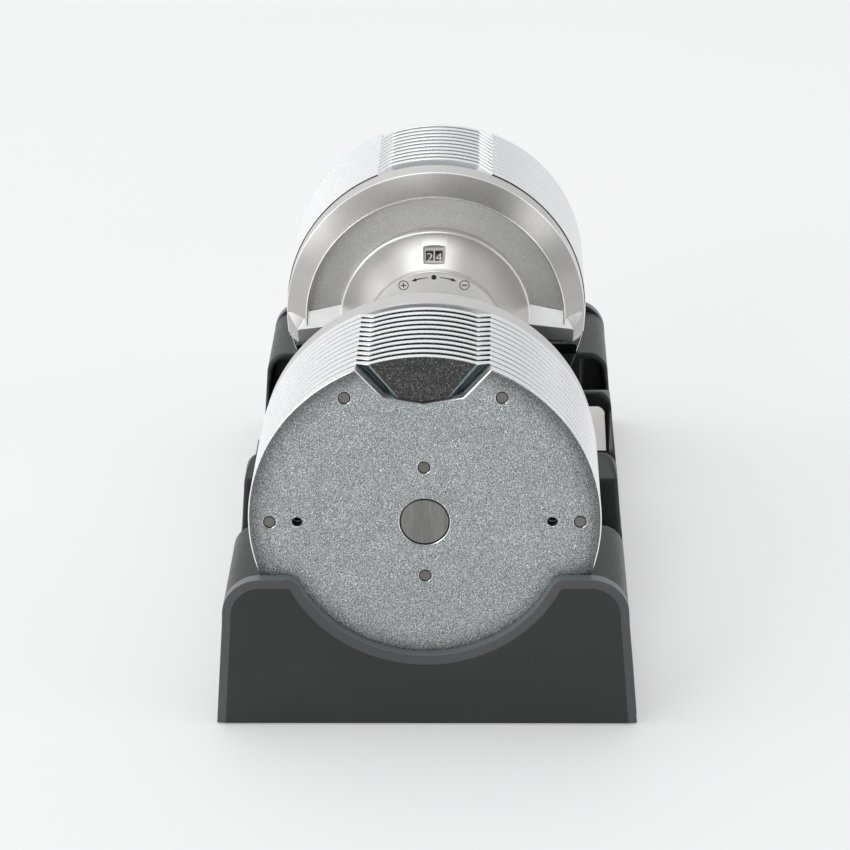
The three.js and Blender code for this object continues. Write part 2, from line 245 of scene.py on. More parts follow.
PAINT = m_paint("plate_plating", 0.05, 0.80, (0.94, 1.0, 1.01), spark=0.4, edge=0.4)
TONGUE = m_paint("tongue_plating", 0.0, 0.09, (1.0, 1.0, 1.0), spark=2.2, rough=0.5, edge=0.9, metallic=0.3)
FLANK = m_metal("tongue_flank", 0.30, 0.2, tint=(0.84, 1.0, 1.04), var=0.12, grain=500, bump=0.1)
# painted light: the rear faces of the tongues are pale and barely metallic so the shadowed gaps between stacked
# tongues read light
TONGUE_BACK_PAINTED_LIGHT = m_metal("tongue_back_painted_light", 0.9, 0.4, tint=(0.96, 1.0, 1.02), var=0.04, grain=700, bump=0.1, metallic=0.2)
RIM = m_metal("turned_rim", 0.95, 0.42, streak=(2.2, 0.5, 0.5), tint=(0.985, 1.0, 1.005), var=0.03, grain=1400, bump=0.1)
EDGE = m_metal("bright_edge", 0.97, 0.25, var=0.03, grain=900, bump=0.1)
RIVET = m_metal("rivet_head", 0.20, 0.42, tint=(1.0, 0.985, 0.92), var=0.22, grain=1300, bump=0.5)
# near-black metal for the rivet seats; on the back chamfer of each plate it is painted shade for the gap to the next
# plate
RIVET_SEAT_AND_GAP_SHADE = m_metal("rivet_seat_and_gap_shade", 0.05, 0.5, var=0.2, grain=1600)
# dark bore metal; also painted gap shade on the lip band of stacked plates
BORE_AND_GAP_SHADE = m_metal("bore_wall_and_gap_shade", 0.30, 0.5, var=0.15, grain=900)


def m_bar_end():
    """end of the bar, ground across with near-vertical marks"""
    a = Mat("bar_end", metallic=1.0, rough=0.46, aniso=0.4)
    v = a.mapped(scale=(1, 1.0, 0.035), rot=(0.13, 0, 0))
    n1 = a.noise(2600, 3.0, 0.65, v)
    n2 = a.noise(420, 2.0, 0.5, v)
    c = a.ramp(n1, [(0.25, 0.20), (0.55, 0.245), (0.78, 0.34)])
    c = a.mul(c, a.ramp(n2, [(0.3, 0.88), (0.72, 1.1)]))
    # a few long scratches
    n3 = a.noise(300, 1.0, 0.4, a.mapped(scale=(1, 3.0, 0.05), rot=(-0.28, 0, 0)))
    c = a.mul(c, a.ramp(n3, [(0.66, 1.0), (0.69, 1.5), (0.72, 1.0)]))
    c = a.mul(c, (1.0, 1.01, 0.955))
    a.color(c)
    a.bump((n1, 0.00005, 0.35), (n3, 0.00004, 0.2))
    return a.m


BAR_END = m_bar_end()
STEEL = m_metal("ground_steel", 0.55, 0.30, streak=(1.0, 0.4, 0.4), var=0.1, grain=900)
SPRING = m_metal("spring_steel", 0.42, 0.34, var=0.12, grain=1500)
BRASS = m_metal("plunger_brass", 0.62, 0.3, tint=(1.0, 0.78, 0.42), var=0.1, grain=1200)


def m_cast(name, base, rough, grain, amp, tint=(1.0, 0.985, 0.965), bump=0.4, dist=0.00012, metallic=0.92):
    """satin cast aluminium, blasted and clear coated"""
    a = Mat(name, metallic=metallic, rough=rough, coat=0.12, coat_rough=0.3)
    n1 = a.noise(grain, 3.0, 0.6)
    n2 = a.noise(38, 4.0, 0.55)
    c = a.ramp(n1, [(0.28, base * (1 - amp)), (0.72, base * (1 + amp))])
    c = a.mul(c, a.ramp(n2, [(0.3, 0.93), (0.7, 1.04)]))
    c = a.mul(c, tint)
    a.color(c)
    a.rough(a.ramp(n1, [(0.2, rough - 0.06), (0.8, rough + 0.08)]))
    a.bump((n1, dist, bump), (n2, 0.0003, 0.05))
    return a.m


CAST = m_cast("cast_satin", 0.70, 0.33, 700, 0.03, bump=0.04, dist=0.00002, metallic=0.93)
CAST_GRAIN = m_cast("cast_grain", 0.74, 0.46, 1500, 0.2, tint=(1.0, 0.995, 0.975), bump=0.6, dist=0.00018, metallic=0.45)
# painted highlight: a near-white copy of the satin cast finish on the rounded edges so they show as bright lines
CAST_EDGE_HIGHLIGHT = m_cast("cast_edge_painted_highlight", 0.97, 0.3, 700, 0.03, bump=0.03, dist=0.00002)
# painted light: a near-white, almost non-metallic copy of the cast finish for faces that look up at the light
CAST_PAINTED_LIGHT = m_cast("cast_painted_light", 0.99, 0.3, 700, 0.01, tint=(0.99, 1.0, 1.0), bump=0.04, dist=0.00002, metallic=0.1)
CAST_DARK = m_cast("cast_shadowed", 0.30, 0.36, 700, 0.08, tint=(0.99, 1.0, 0.99), bump=0.04, dist=0.00002, metallic=0.85)


COLLAR = m_cast("cast_collar", 0.95, 0.34, 700, 0.03, tint=(1.0, 0.99, 0.98), bump=0.03, dist=0.00002, metallic=0.35)
FRAME = m_cast("cast_frame", 0.5, 0.36, 1100, 0.06, tint=(1.0, 0.99, 0.98), bump=0.15, dist=0.00004, metallic=0.9)
INSERT = m_cast("insert_grey", 0.42, 0.4, 1000, 0.06, tint=(1.0, 1.0, 0.99), bump=0.1, metallic=0.5)


def m_plastic(name, base, rough, bump=0.35, scuff=0.5, tint=(0.94, 1.0, 1.01), outside_sheen=None):
    """black moulded plastic, fine spark-eroded grain, a little dust and rub marks"""
    a = Mat(name, rough=rough, spec=0.5)
    n1 = a.noise(1700, 2.0, 0.6)
    n2 = a.noise(26, 5.0, 0.6)
    c = a.ramp(n1, [(0.3, base * 0.85), (0.7, base * 1.15)])
    c = a.mul(c, tint)
    if outside_sheen:        # painted sheen: pale only along the top and the round cut, the faces that look up at the light; elsewhere it drops to the dark plastic value
        co = a.xyz()
        up = a.maprange(co[2], 0.058, 0.082)
        near = a.maprange(a.math('ABSOLUTE', co[1]), 0.076, 0.084, 1.0, 0.0)
        c = a.mixf(a.math('MAXIMUM', up, near), (outside_sheen * 0.94, outside_sheen, outside_sheen * 1.01), c)
    dust = a.ramp(n2, [(0.45, 0.0), (0.8, 1.0)])
    c = a.mixf(a.math('MULTIPLY', dust, 0.05 * scuff), c, (0.35, 0.35, 0.34))
    # rub marks: short pale streaks
    n3 = a.noise(160, 3.0, 0.7, a.mapped(scale=(1.0, 0.35, 1.9), rot=(0.5, 0.2, 0.1)))
    marks = a.math('MULTIPLY', a.ramp(n3, [(0.70, 0.0), (0.76, 1.0)]), a.ramp(a.noise(14, 2.0, 0.5), [(0.52, 0.0), (0.66, 1.0)]))
    c = a.mixf(a.math('MULTIPLY', marks, 0.10 * scuff), c, (0.45, 0.45, 0.44))
    a.color(c)
    a.rough(a.ramp(a.noise(300, 3.0, 0.6), [(0.3, rough - 0.04), (0.7, rough + 0.06)]))
    a.bump((n1, 0.00008, bump), (n2, 0.0004, 0.03))
    return a.m


PLASTIC = m_plastic("cradle_plastic", 0.0175, 0.38)
SHEEN_TOP = m_plastic("cradle_top_painted_sheen", 0.17, 0.34, scuff=0.6, tint=(0.90, 1.0, 1.06), outside_sheen=0.0175)
# partly real rub marks, partly painted sheen: the base is raised and tinted blue like a reflection of the light
RUBBED_AND_SHEEN = m_plastic("cradle_rubbed_and_sheen", 0.072, 0.36, scuff=0.9, tint=(0.98, 1.0, 1.04))
POST = m_plastic("post_plastic", 0.035, 0.42)
DIAL = m_plastic("dial_plastic", 0.03, 0.38, scuff=0.1)
RUBBER = m_plastic("foot_rubber", 0.016, 0.8, bump=0.6, scuff=1.0, tint=(1, 1, 1))
INK = m_plastic("ink_black", 0.03, 0.55, bump=0.1, scuff=0.05, tint=(1, 1, 1))


def m_white(name, base, rough, painted_glow=0.0):
    a = Mat(name, rough=rough, spec=0.5)
    n = a.noise(900, 3.0, 0.6)
    c = a.ramp(n, [(0.3, base * 0.96), (0.7, base * 1.02)])
    c = a.mul(c, a.ramp(a.noise(60, 3.0, 0.6), [(0.3, 0.95), (0.7, 1.0)]))
    c = a.mul(c, (1.0, 0.985, 0.96))
    a.color(c)
    a.bump((n, 0.00004, 0.2))
    # painted light: emission makes the part glow, though it is no lamp
    if painted_glow:
        a.l(c, a.b.inputs['Emission Color'])
        a.b.inputs['Emission Strength'].default_value = painted_glow
    return a.m


# the label glows so it reads white in the shaded trench beside the plates
LABEL = m_white("label_paper", 0.92, 0.35, 0.42)
DIGIT = m_white("digit_white", 0.80, 0.5)


def m_knurl():
    a = Mat("knurled_steel", metallic=1.0, rough=0.34)
    n1 = a.noise(1500, 3.0, 0.6)
    c = a.ramp(n1, [(0.25, 0.46), (0.75, 0.6)])
    c = a.mul(c, a.ramp(a.noise(45, 3.0, 0.6), [(0.3, 0.9), (0.7, 1.03)]))
    a.color(c)
    a.rough(a.ramp(n1, [(0.2, 0.28), (0.8, 0.44)]))
    a.bump((n1, 0.00004, 0.25))
    return a.m


KNURL = m_knurl()


# ------------------------------------------------------------------ mesh helpers
def place(v, side):
    """local millimetres about the handle axis to the shared frame; side -1 is turned half round"""
    v = np.asarray(v, float)
    s = 1.0 if side > 0 else -1.0
    return np.stack([v[:, 0] * s, v[:, 1] * s, v[:, 2] + AZ], 1) * 0.001


def new_mesh(name, verts, faces, mats, midx=None, sharp=26.0):
    me = bpy.data.meshes.new(name)
    me.from_pydata([tuple(map(float, v)) for v in verts], [], [tuple(int(i) for i in q) for q in faces])
    for m in mats:
        me.materials.append(m)
    if midx is not None:
        me.polygons.foreach_set('material_index', np.asarray(midx, dtype=np.int32))
    bm = bmesh.new()
    bm.from_mesh(me)
    bmesh.ops.remove_doubles(bm, verts=bm.verts, dist=1e-7)
    bmesh.ops.dissolve_degenerate(bm, edges=bm.edges, dist=1e-8)
    bmesh.ops.recalc_face_normals(bm, faces=bm.faces)
    bm.to_mesh(me)
    bm.free()
    smooth(me, sharp)
    return me


def smooth(me, sharp=26.0):
    me.polygons.foreach_set('use_smooth', [True] * len(me.polygons))
    me.set_sharp_from_angle(angle=math.radians(sharp))
    me.update()


def obj(name, me):
    ob = bpy.data.objects.new(name, me)
    scene.collection.objects.link(ob)
    return ob


def boolean(me_a, me_b, op):
    a, b = obj("tmp_a", me_a), obj("tmp_b", me_b)
    md = a.modifiers.new("b", 'BOOLEAN')
    md.operation = op
    md.object = b
    md.solver = 'EXACT'
    bpy.context.view_layer.update()
    dg = bpy.context.evaluated_depsgraph_get()
    me = bpy.data.meshes.new_from_object(a.evaluated_get(dg))
    bpy.data.objects.remove(a)
    bpy.data.objects.remove(b)
    return me


def moved(me, name, dx=0.0, side=1):
    """copy of a local-millimetre mesh, slid along the axis and put in the shared frame"""
    out = me.copy()
    out.name = name
    s = 1.0 if side > 0 else -1.0
    out.transform(Matrix(((0.001 * s, 0, 0, 0.001 * s * dx), (0, 0.001 * s, 0, 0), (0, 0, 0.001, 0.001 * AZ), (0, 0, 0, 1))))
    return out


def piece(name, me, body, nodes=()):
    ob = obj(name, me)
    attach(ob, body)
    if nodes:
        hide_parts(*nodes)
    return ob


class Shell:
    """collects rings of points and the faces between them"""
    def __init__(s):
        s.v, s.f, s.m = [], [], []

    def ring(s, pts):
        i = len(s.v)
        s.v.extend(pts)
        return list(range(i, i + len(pts)))

    def face(s, idx, m):
        s.f.append(idx)
        s.m.append(m)

    def band(s, a, b, m, closed=True):
        n = len(a)
        for i in range(n if closed else n - 1):
            j = (i + 1) % n
            s.face((a[i], a[j], b[j], b[i]), m)

    def cap(s, outer, holes, m):
        loops = [outer] + list(holes)
        flat = [i for lp in loops for i in lp]
        polys = [[Vector((s.v[i][1], s.v[i][2], 0)) for i in lp] for lp in loops]
        for t in tessellate_polygon(polys):
            s.face([flat[k] for k in t], m)

    def mesh(s, name, mats, sharp=26.0):
        return new_mesh(name, s.v, s.f, mats, s.m, sharp)


def lathe(name, prof, mats, mi=None, seg=160, sharp=24.0):
    """closed (radius, x) outline turned about the X axis; mi is one material index per outline side"""
    sh = Shell()
    ang = np.linspace(0, 2 * math.pi, seg, endpoint=False)
    rings = [sh.ring([(x, r * math.cos(a), r * math.sin(a)) for a in ang]) for r, x in prof]
    n = len(prof)
    for i in range(n):
        sh.band(rings[i], rings[(i + 1) % n], 0 if mi is None else mi[i])
    return sh.mesh(name, mats, sharp)


# ------------------------------------------------------------------ plates
NS = (20.0, 67.6)       # lower corner of the notch
NB = (0.0, 64.0)        # its lowest point
def _unit(a, b):
    d = np.array([b[0] - a[0], b[1] - a[1]], float)
    return d / np.linalg.norm(d)
_ds, _db = _unit(NS, (41.5, 91.0)), _unit(NB, NS)
_ns, _nb = np.array([_ds[1], -_ds[0]]), np.array([_db[1], -_db[0]])
ARC_N = 168


def plate_outline(d):
    """outline of a plate inset by d: arc the long way round, then the notch"""
    a = np.array(NS) + _ns * d
    b = np.array(NB) + _nb * d
    rr_ = R - d
    # side line and circle
    p = a @ _ds
    t = -p + math.sqrt(p * p - (a @ a - rr_ * rr_))
    top = a + _ds * t
    # side line and bottom line
    A = np.array([_ds, -_db]).T
    s, _ = np.linalg.solve(A, b - a)
    cor = a + _ds * s
    bot = b[1] - b[0] * _db[1] / _db[0]
    t0 = math.atan2(top[1], top[0])
    ang = np.linspace(t0, -math.pi - t0, ARC_N)
    pts = [(rr_ * math.cos(q), rr_ * math.sin(q)) for q in ang]
    # notch, left top corner is the last arc point: down to the left corner, the low point, the right corner
    for k in (0.33, 0.66):
        pts.append((-(top[0] + (cor[0] - top[0]) * k), top[1] + (cor[1] - top[1]) * k))
    pts.append((-cor[0], cor[1]))
    for k in (0.5,):
        pts.append((-cor[0] * (1 - k), cor[1] + (bot - cor[1]) * k))
    pts.append((0.0, bot))
    for k in (0.5,):
        pts.append((cor[0] * k, bot + (cor[1] - bot) * k))
    pts.append((cor[0], cor[1]))
    for k in (0.34, 0.67):
        pts.append((cor[0] + (top[0] - cor[0]) * k, cor[1] + (top[1] - cor[1]) * k))
    return pts


RIVETS = [(78.2, 0.0), (-78.2, 0.0), (39.1, 67.6), (-39.1, 67.6), (0.0, 29.9), (0.0, -29.9)]
PM = [PAINT, RIM, EDGE, BORE_AND_GAP_SHADE, RIVET, RIVET_SEAT_AND_GAP_SHADE, TONGUE, FLANK, TONGUE_BACK_PAINTED_LIGHT]


def circle(y, z, r, n):
    return [(y + r * math.cos(2 * math.pi * i / n), z + r * math.sin(2 * math.pi * i / n)) for i in range(n)]


def plate_mesh(t, peep, screws=(), lip=3):
    sh = Shell()
    def lv(x, d): return sh.ring([(x, y, z) for y, z in plate_outline(d)])
    front = [(0.0, 3.0), (-0.05, 1.9), (-0.15, 1.05), (-0.27, 0.58), (-0.52, 0.14), (-0.66, 0.0),
             (-3.93, 0.0), (-3.98, 0.12), (-4.08, 0.12), (-4.13, 0.0), (-t + 0.42, 0.0), (-t + 0.16, 0.3), (-t, 0.9)]
    # painted shade: on stacked plates the rolled lip band takes the dark bore metal and the last back band the
    # near-black seat metal, so the joins between plates read as shadowed gaps; the outer plate passes a bright lip
    mats = [0, 0, 0, lip, 2, 1, 1, 3, 1, 1, 1, 5]
    rings = [lv(x, d) for x, d in front]
    for i, m in enumerate(mats):
        sh.band(rings[i], rings[i + 1], m)
    fh, bh = [], []
    def hole(y, z, levels, n, ms, through):
        rs = [sh.ring([(x, a, b) for a, b in circle(y, z, r, n)]) for r, x in levels]
        for i in range(len(rs) - 1):
            sh.band(rs[i], rs[i + 1], ms[i])
        fh.append(rs[0])
        if through:
            bh.append(rs[-1])
        else:
            c = sh.ring([(levels[-1][1], y, z)])
            for i in range(n):
                sh.face((rs[-1][i], rs[-1][(i + 1) % n], c[0]), ms[-1])
    hole(0, 0, [(13.3, 0), (13.1, -0.06), (12.75, -0.35), (12.6, -0.7), (12.6, -t + 0.3), (12.9, -t)], 96, [0, 2, 5, 5, 3], True)
    if peep:
        for s in (1, -1):
            hole(s * 64.3, 0, [(3.0, 0), (2.75, -0.1), (2.55, -0.4), (2.55, -t + 0.2), (2.75, -t)], 32, [0, 2, 3, 2], True)
    for y, z in RIVETS:
        hole(y, z, [(3.5, 0), (3.32, -0.12), (3.24, -0.7), (2.86, -0.7), (2.82, -0.3), (2.62, -0.1), (2.2, -0.04), (1.5, -0.12), (0.7, -0.22)],
             28, [2, 5, 5, 5, 4, 4, 4, 4, 4], False)
    for y, z in screws:
        hole(y, z, [(6.4, 0), (6.0, -0.4), (6.0, -3.4), (3.3, -3.4), (3.3, -t + 0.1), (3.4, -t)], 32, [2, 3, 3, 3, 3], True)
    sh.cap(rings[0], fh, 0)
    sh.cap(rings[-1], bh, 0)
    return sh.mesh("plate", PM, 24.0)


def tongue_mesh():
    """bent sheet at the top of a plate that fills the next plate's notch"""
    def lin(y1, z1, y2, z2):
        b = (y2 - y1) / (z2 - z1)
        return y1 - b * z1, b
    yf, yi = lin(13.1, 67.3, 33.6, 92), lin(11.6, 67.3, 32.0, 92)
    yo, yr = lin(21.6, 68.2, 43.4, 92), lin(20.7, 68.2, 42.6, 92)
    st = []     # (front x, (a, b)), (back x, (a, b)), material of the span to the next one
    def comb(p, q, k): return (p[0] + (q[0] - p[0]) * k, p[1] + (q[1] - p[1]) * k)
    neg = lambda p: (-p[0], -p[1])
    side = [((-3.6, yo), (-5.9, yr)), ((0.2, comb(yo, yf, 0.47)), (-2.4, comb(yr, yi, 0.49))),
            ((3.5, comb(yo, yf, 0.88)), (0.7, comb(yr, yi, 0.92))), ((4.22, comb(yo, yf, 0.985)), (1.12, comb(yr, yi, 0.985)))]
    for a, b in side:
        st.append((a[0], neg(a[1]), b[0], neg(b[1])))
    for k in np.linspace(-0.955, 0.955, 27):
        st.append((4.5, (yf[0] * k, yf[1] * k), 1.3, (yi[0] * k, yi[1] * k)))
    for a, b in side[::-1]:
        st.append((a[0], a[1], b[0], b[1]))
    K = len(st)
    def bottom(p):
        s = 1.0 if p[0] + p[1] * 68 >= 0 else -1.0
        a, b = p[0] * s, p[1] * s
        return (64.8 + 0.157 * a) / (1 - 0.157 * b)
    def top(p, rad):
        a, b = p
        A, B, C = 1 + b * b, 2 * a * b, a * a - rad * rad
        return (-B + math.sqrt(B * B - 4 * A * C)) / (2 * A)
    sh = Shell()
    def strip(fn_f, fn_b):
        i = len(sh.v)
        for s in st:
            z = fn_f(s[1]); sh.v.append((s[0], s[1][0] + s[1][1] * z, z))
        for s in st[::-1]:
            z = fn_b(s[3]); sh.v.append((s[2], s[3][0] + s[3][1] * z, z))
        return list(range(i, i + 2 * K))
    low = strip(bottom, bottom)
    mid = strip(lambda p: 0.5 * (bottom(p) + top(p, 88.6)), lambda p: 0.5 * (bottom(p) + top(p, 88.6)))
    hi = strip(lambda p: top(p, 88.65), lambda p: top(p, 88.65))
    # edge break: pulled in to the middle of the sheet and out to the full radius
    i = len(sh.v)
    def pull(f_, b_, k):
        return tuple(f_[j] + (b_[j] - f_[j]) * k for j in range(3))
    F_ = [pull(sh.v[hi[j]], sh.v[hi[2 * K - 1 - j]], 0.09) for j in range(K)]
    B_ = [pull(sh.v[hi[j]], sh.v[hi[2 * K - 1 - j]], 0.91) for j in range(K)]
    def out(p):
        k = 88.95 / math.hypot(p[1], p[2]); return (p[0], p[1] * k, p[2] * k)
    sh.v.extend([out(p) for p in F_] + [out(p) for p in B_[::-1]])
    rim = list(range(i, i + 2 * K))
    def side_mat(j):
        return 7 if (j < 4 or j >= K - 4) else 6
    n = 2 * K
    for a, b, kind in ((low, mid, 0), (mid, hi, 0), (hi, rim, 1)):
        for j in range(n):
            q = (j + 1) % n
            if kind:
                m = 2
            elif j < K - 1:
                m = 7 if (j < 4 or j >= K - 5) else 6
            else:
                m = 8
            sh.face((a[j], a[q], b[q], b[j]), m)
    for rg, m in ((rim, 1), (low, 7)):
        for j in range(K - 1):
            sh.face((rg[j], rg[j + 1], rg[n - 2 - j], rg[n - 1 - j]), m)
    return sh.mesh("tongue", PM, 24.0)


SCREW = [(50.0, 38.0), (-50.0, 38.0)]
tongue = tongue_mesh()
outer_me = plate_mesh(6.2, True, (), 2)
second_me = boolean(plate_mesh(6.2, True), tongue, 'UNION')
inner_me = boolean(plate_mesh(6.2, False), tongue, 'UNION')
end_me = boolean(plate_mesh(6.7, False, SCREW), tongue, 'UNION')
for me in (second_me, inner_me, end_me):
    smooth(me, 24.0)
for side, tag in ((1, "right"), (-1, "left")):
    for k in range(COUNT):
        src = outer_me if k == 0 else second_me if k < 3 else inner_me
        nm = "plate_%02d_%s" % (k + 1, tag)
        piece("weight_" + nm, moved(src, "weight_" + nm, FACE - PITCH * k, side), "dumbbell", [nm])
    nm = "end_plate_" + tag
    piece("fixed_" + nm, moved(end_me, "fixed_" + nm, FACE - PITCH * COUNT, side), "dumbbell", [nm])

# ------------------------------------------------------------------ locking bars
def bar_mesh():
    sh = Shell()
    prof = [(10.9, 192.0), (11.75, 191.9), (12.1, 191.55), (12.15, 191.1), (12.15, 185.4), (12.05, 185.2), (12.05, 76.2), (11.2, 75.2)]
    mats = [0, 0, 1, 1, 1, 1, 1]
    rings = []
    for r, x in prof:
        pts = []
        for y, z in circle(0, 0, r, 96):
            if x < 185.3:
                z = max(z, -10.2)
            pts.append((x, y, z))
        rings.append(sh.ring(pts))
    for i, m in enumerate(mats):
        sh.band(rings[i], rings[i + 1], m)
    sh.cap(rings[0], [], 0)
    sh.cap(rings[-1], [], 1)
    return sh.mesh("bar", [BAR_END, STEEL, EDGE], 24.0)


bar = bar_mesh()
for side, tag in ((1, "right"), (-1, "left")):
    nm = "locking_bar_" + tag
    piece("ground_" + nm, moved(bar, "ground_" + nm, 0.0, side), "bar_" + tag, [nm])


# ------------------------------------------------------------------ head castings
RIMX = 98.8
CAST_BAND = m_cast("cast_band", 0.50, 0.31, 700, 0.03, bump=0.04, dist=0.00002, metallic=0.95)
# painted light: the near-white cast copy also glows a little, though it is no lamp
for n_ in CAST_PAINTED_LIGHT.node_tree.nodes:
    if n_.type == 'BSDF_PRINCIPLED':
        n_.inputs['Emission Color'].default_value = (1, 1, 1, 1)
        n_.inputs['Emission Strength'].default_value = 0.2
HM = [CAST, CAST_GRAIN, CAST_EDGE_HIGHLIGHT, CAST_PAINTED_LIGHT, FRAME, CAST_DARK, CAST_BAND]


def hull_mesh(name, pts, mats, bevel=0.0, seg=2, sharp=24.0, mi=0):
    bm = bmesh.new()
    for p in pts:
        bm.verts.new(p)
    r_ = bmesh.ops.convex_hull(bm, input=bm.verts)
    bmesh.ops.dissolve_limit(bm, angle_limit=math.radians(1.0), verts=bm.verts, edges=bm.edges)
    if bevel:
        bmesh.ops.bevel(bm, geom=list(bm.edges), offset=bevel, segments=seg, profile=0.6, affect='EDGES', clamp_overlap=True)
    bmesh.ops.recalc_face_normals(bm, faces=bm.faces)
    me = bpy.data.meshes.new(name)
    bm.to_mesh(me)
    bm.free()
    for m in mats:
        me.materials.append(m)
    me.polygons.foreach_set('material_index', [mi] * len(me.polygons))
    smooth(me, sharp)
    return me


def head_mesh():
    prof = [(52.0, 113.5), (87.7, 113.5), (88.2, 113.0), (88.2, 99.75), (88.08, 99.2), (87.75, 98.85),
            (76.6, 89.75), (76.0, 89.3), (75.4, 89.38), (75.1, 90.0), (74.7, 92.9), (74.35, 93.55), (73.6, 93.8), (52.0, 93.8)]
    mi = [0, 0, 0, 2, 2, 6, 2, 2, 2, 1, 1, 1, 1, 0]
    shield = lathe("shield", prof, HM, mi, 220, 20.0)
    x = RIMX
    cutter = hull_mesh("cutter", [(a, y, z) for y in (-96, 96) for a, z in
             ((x - 14, -9.9), (x - 10.2, -11.0), (x + 0.2, -17.0), (x + 18, -17.0), (x + 18, -97), (x - 14, -97))], HM)
    shield = boolean(shield, cutter, 'DIFFERENCE')
    for t in (1, -1):       # rounded lower corners
        cs = Shell()
        pl = [(86.9, -11.0)] + [(81.9 + 5.0 * math.cos(math.radians(q)), -12.0 + 5.0 * math.sin(math.radians(q))) for q in np.linspace(0, -90, 9)] + [(81.9, -23.0), (96.0, -23.0), (96.0, -11.0)]
        ra, rb = cs.ring([(80.0, t * y, z) for y, z in pl]), cs.ring([(116.0, t * y, z) for y, z in pl])
        cs.band(ra, rb, 6)
        cs.cap(ra, [], 6)
        cs.cap(rb, [], 6)
        shield = boolean(shield, cs.mesh("corner", HM), 'DIFFERENCE')
    head = shield
    for t in (1, -1):
        pts = [(x - 5.0, 50, 9.6), (x - 7.6, 75.0, 5.0), (x - 10, 50, -2.2), (x - 10, 81.5, -6.0), (x - 10, 81.0, -13.4), (x - 10, 50, -11.0),
               (x - 0.6, 50, -16.9), (x - 0.6, 81.0, -16.9), (x - 0.6, 84.6, -15.4), (x - 0.6, 86.0, -13.0), (x - 0.5, 87.4, -6.0), (x - 0.5, 87.9, 2.0),
               (x + 8, 50, -16.9), (x + 8, 81.0, -16.9), (x + 8, 86.0, -13.0), (x + 8, 87.4, -6.0), (x + 8, 87.9, 2.0), (x + 8, 75.0, 5.0), (x + 8, 50, 9.6)]
        wing = hull_mesh("wing", [(a_, t * y, z) for a_, y, z in pts], HM, 0.4, 2, 24.0, 6)
        # painted light and shade by face direction: the foot slope facing up and inward gets the glowing near-white
        # copy of the cast finish, faces turned straight inward the shadowed dark copy
        for p in wing.polygons:
            if p.normal.x < -0.6 and p.normal.z > 0.2 and abs(p.normal.y) < 0.3:
                p.material_index = 3
            elif p.normal.x < -0.93:
                p.material_index = 5
        head = boolean(head, wing, 'UNION')
    hub = lathe("hub", [(50.0, 113.5), (56.2, 113.5), (56.2, 90.0), (55.95, 89.35), (55.4, 89.1), (54.95, 88.6),
                        (54.35, 87.2), (54.15, 86.7), (41.25, 66.15), (41.0, 65.6), (40.75, 64.5), (40.5, 64.0), (15.9, 64.0), (15.4, 64.5), (15.4, 68.0), (37.5, 68.0), (50.0, 86.0)],
                HM, [0, 0, 2, 2, 2, 0, 0, 0, 0, 0, 0, 0, 0, 0, 0, 0, 0], 220, 20.0)
    head = boolean(head, hub, 'UNION')
    # display window: bevelled frame sunk in the cone, then straight through
    th = math.atan2(20.55, 12.9)
    ca, sa = math.sin(th), math.cos(th)      # along the cone, outwards
    o = np.array([75.25, 0.0, 45.2])
    av, nv = np.array([ca, 0.0, sa]), np.array([-sa, 0.0, ca])
    def P(a, y, n): return tuple(o + av * a + nv * n + np.array([0, y, 0]))
    top = [P(8.55, 8.1, 2.3), P(8.55, -8.1, 2.3), P(-8.9, 6.6, 2.3), P(-8.9, -6.6, 2.3)]
    low = [P(5.3, 5.9, 0.62), P(5.3, -5.9, 0.62), P(-5.4, 5.8, 0.62), P(-5.4, -5.8, 0.62)]
    fr = hull_mesh("frame", top + low, HM, 0.25, 1, 24.0, 4)
    head = boolean(head, fr, 'DIFFERENCE')
    thru = hull_mesh("thru", [P(a, y, n) for a in (-5.0, 5.0) for y in (-5.7, 5.7) for n in (-7, 1.4)], HM)
    head = boolean(head, thru, 'DIFFERENCE')
    slot_ = hull_mesh("slot", [(a, y, z) for a in (83.2, 88.2) for y in (-5.6, 5.6) for z in (-60, -40)], HM)
    head = boolean(head, slot_, 'DIFFERENCE')
    smooth(head, 20.0)
    return head, P


head, WP = head_mesh()


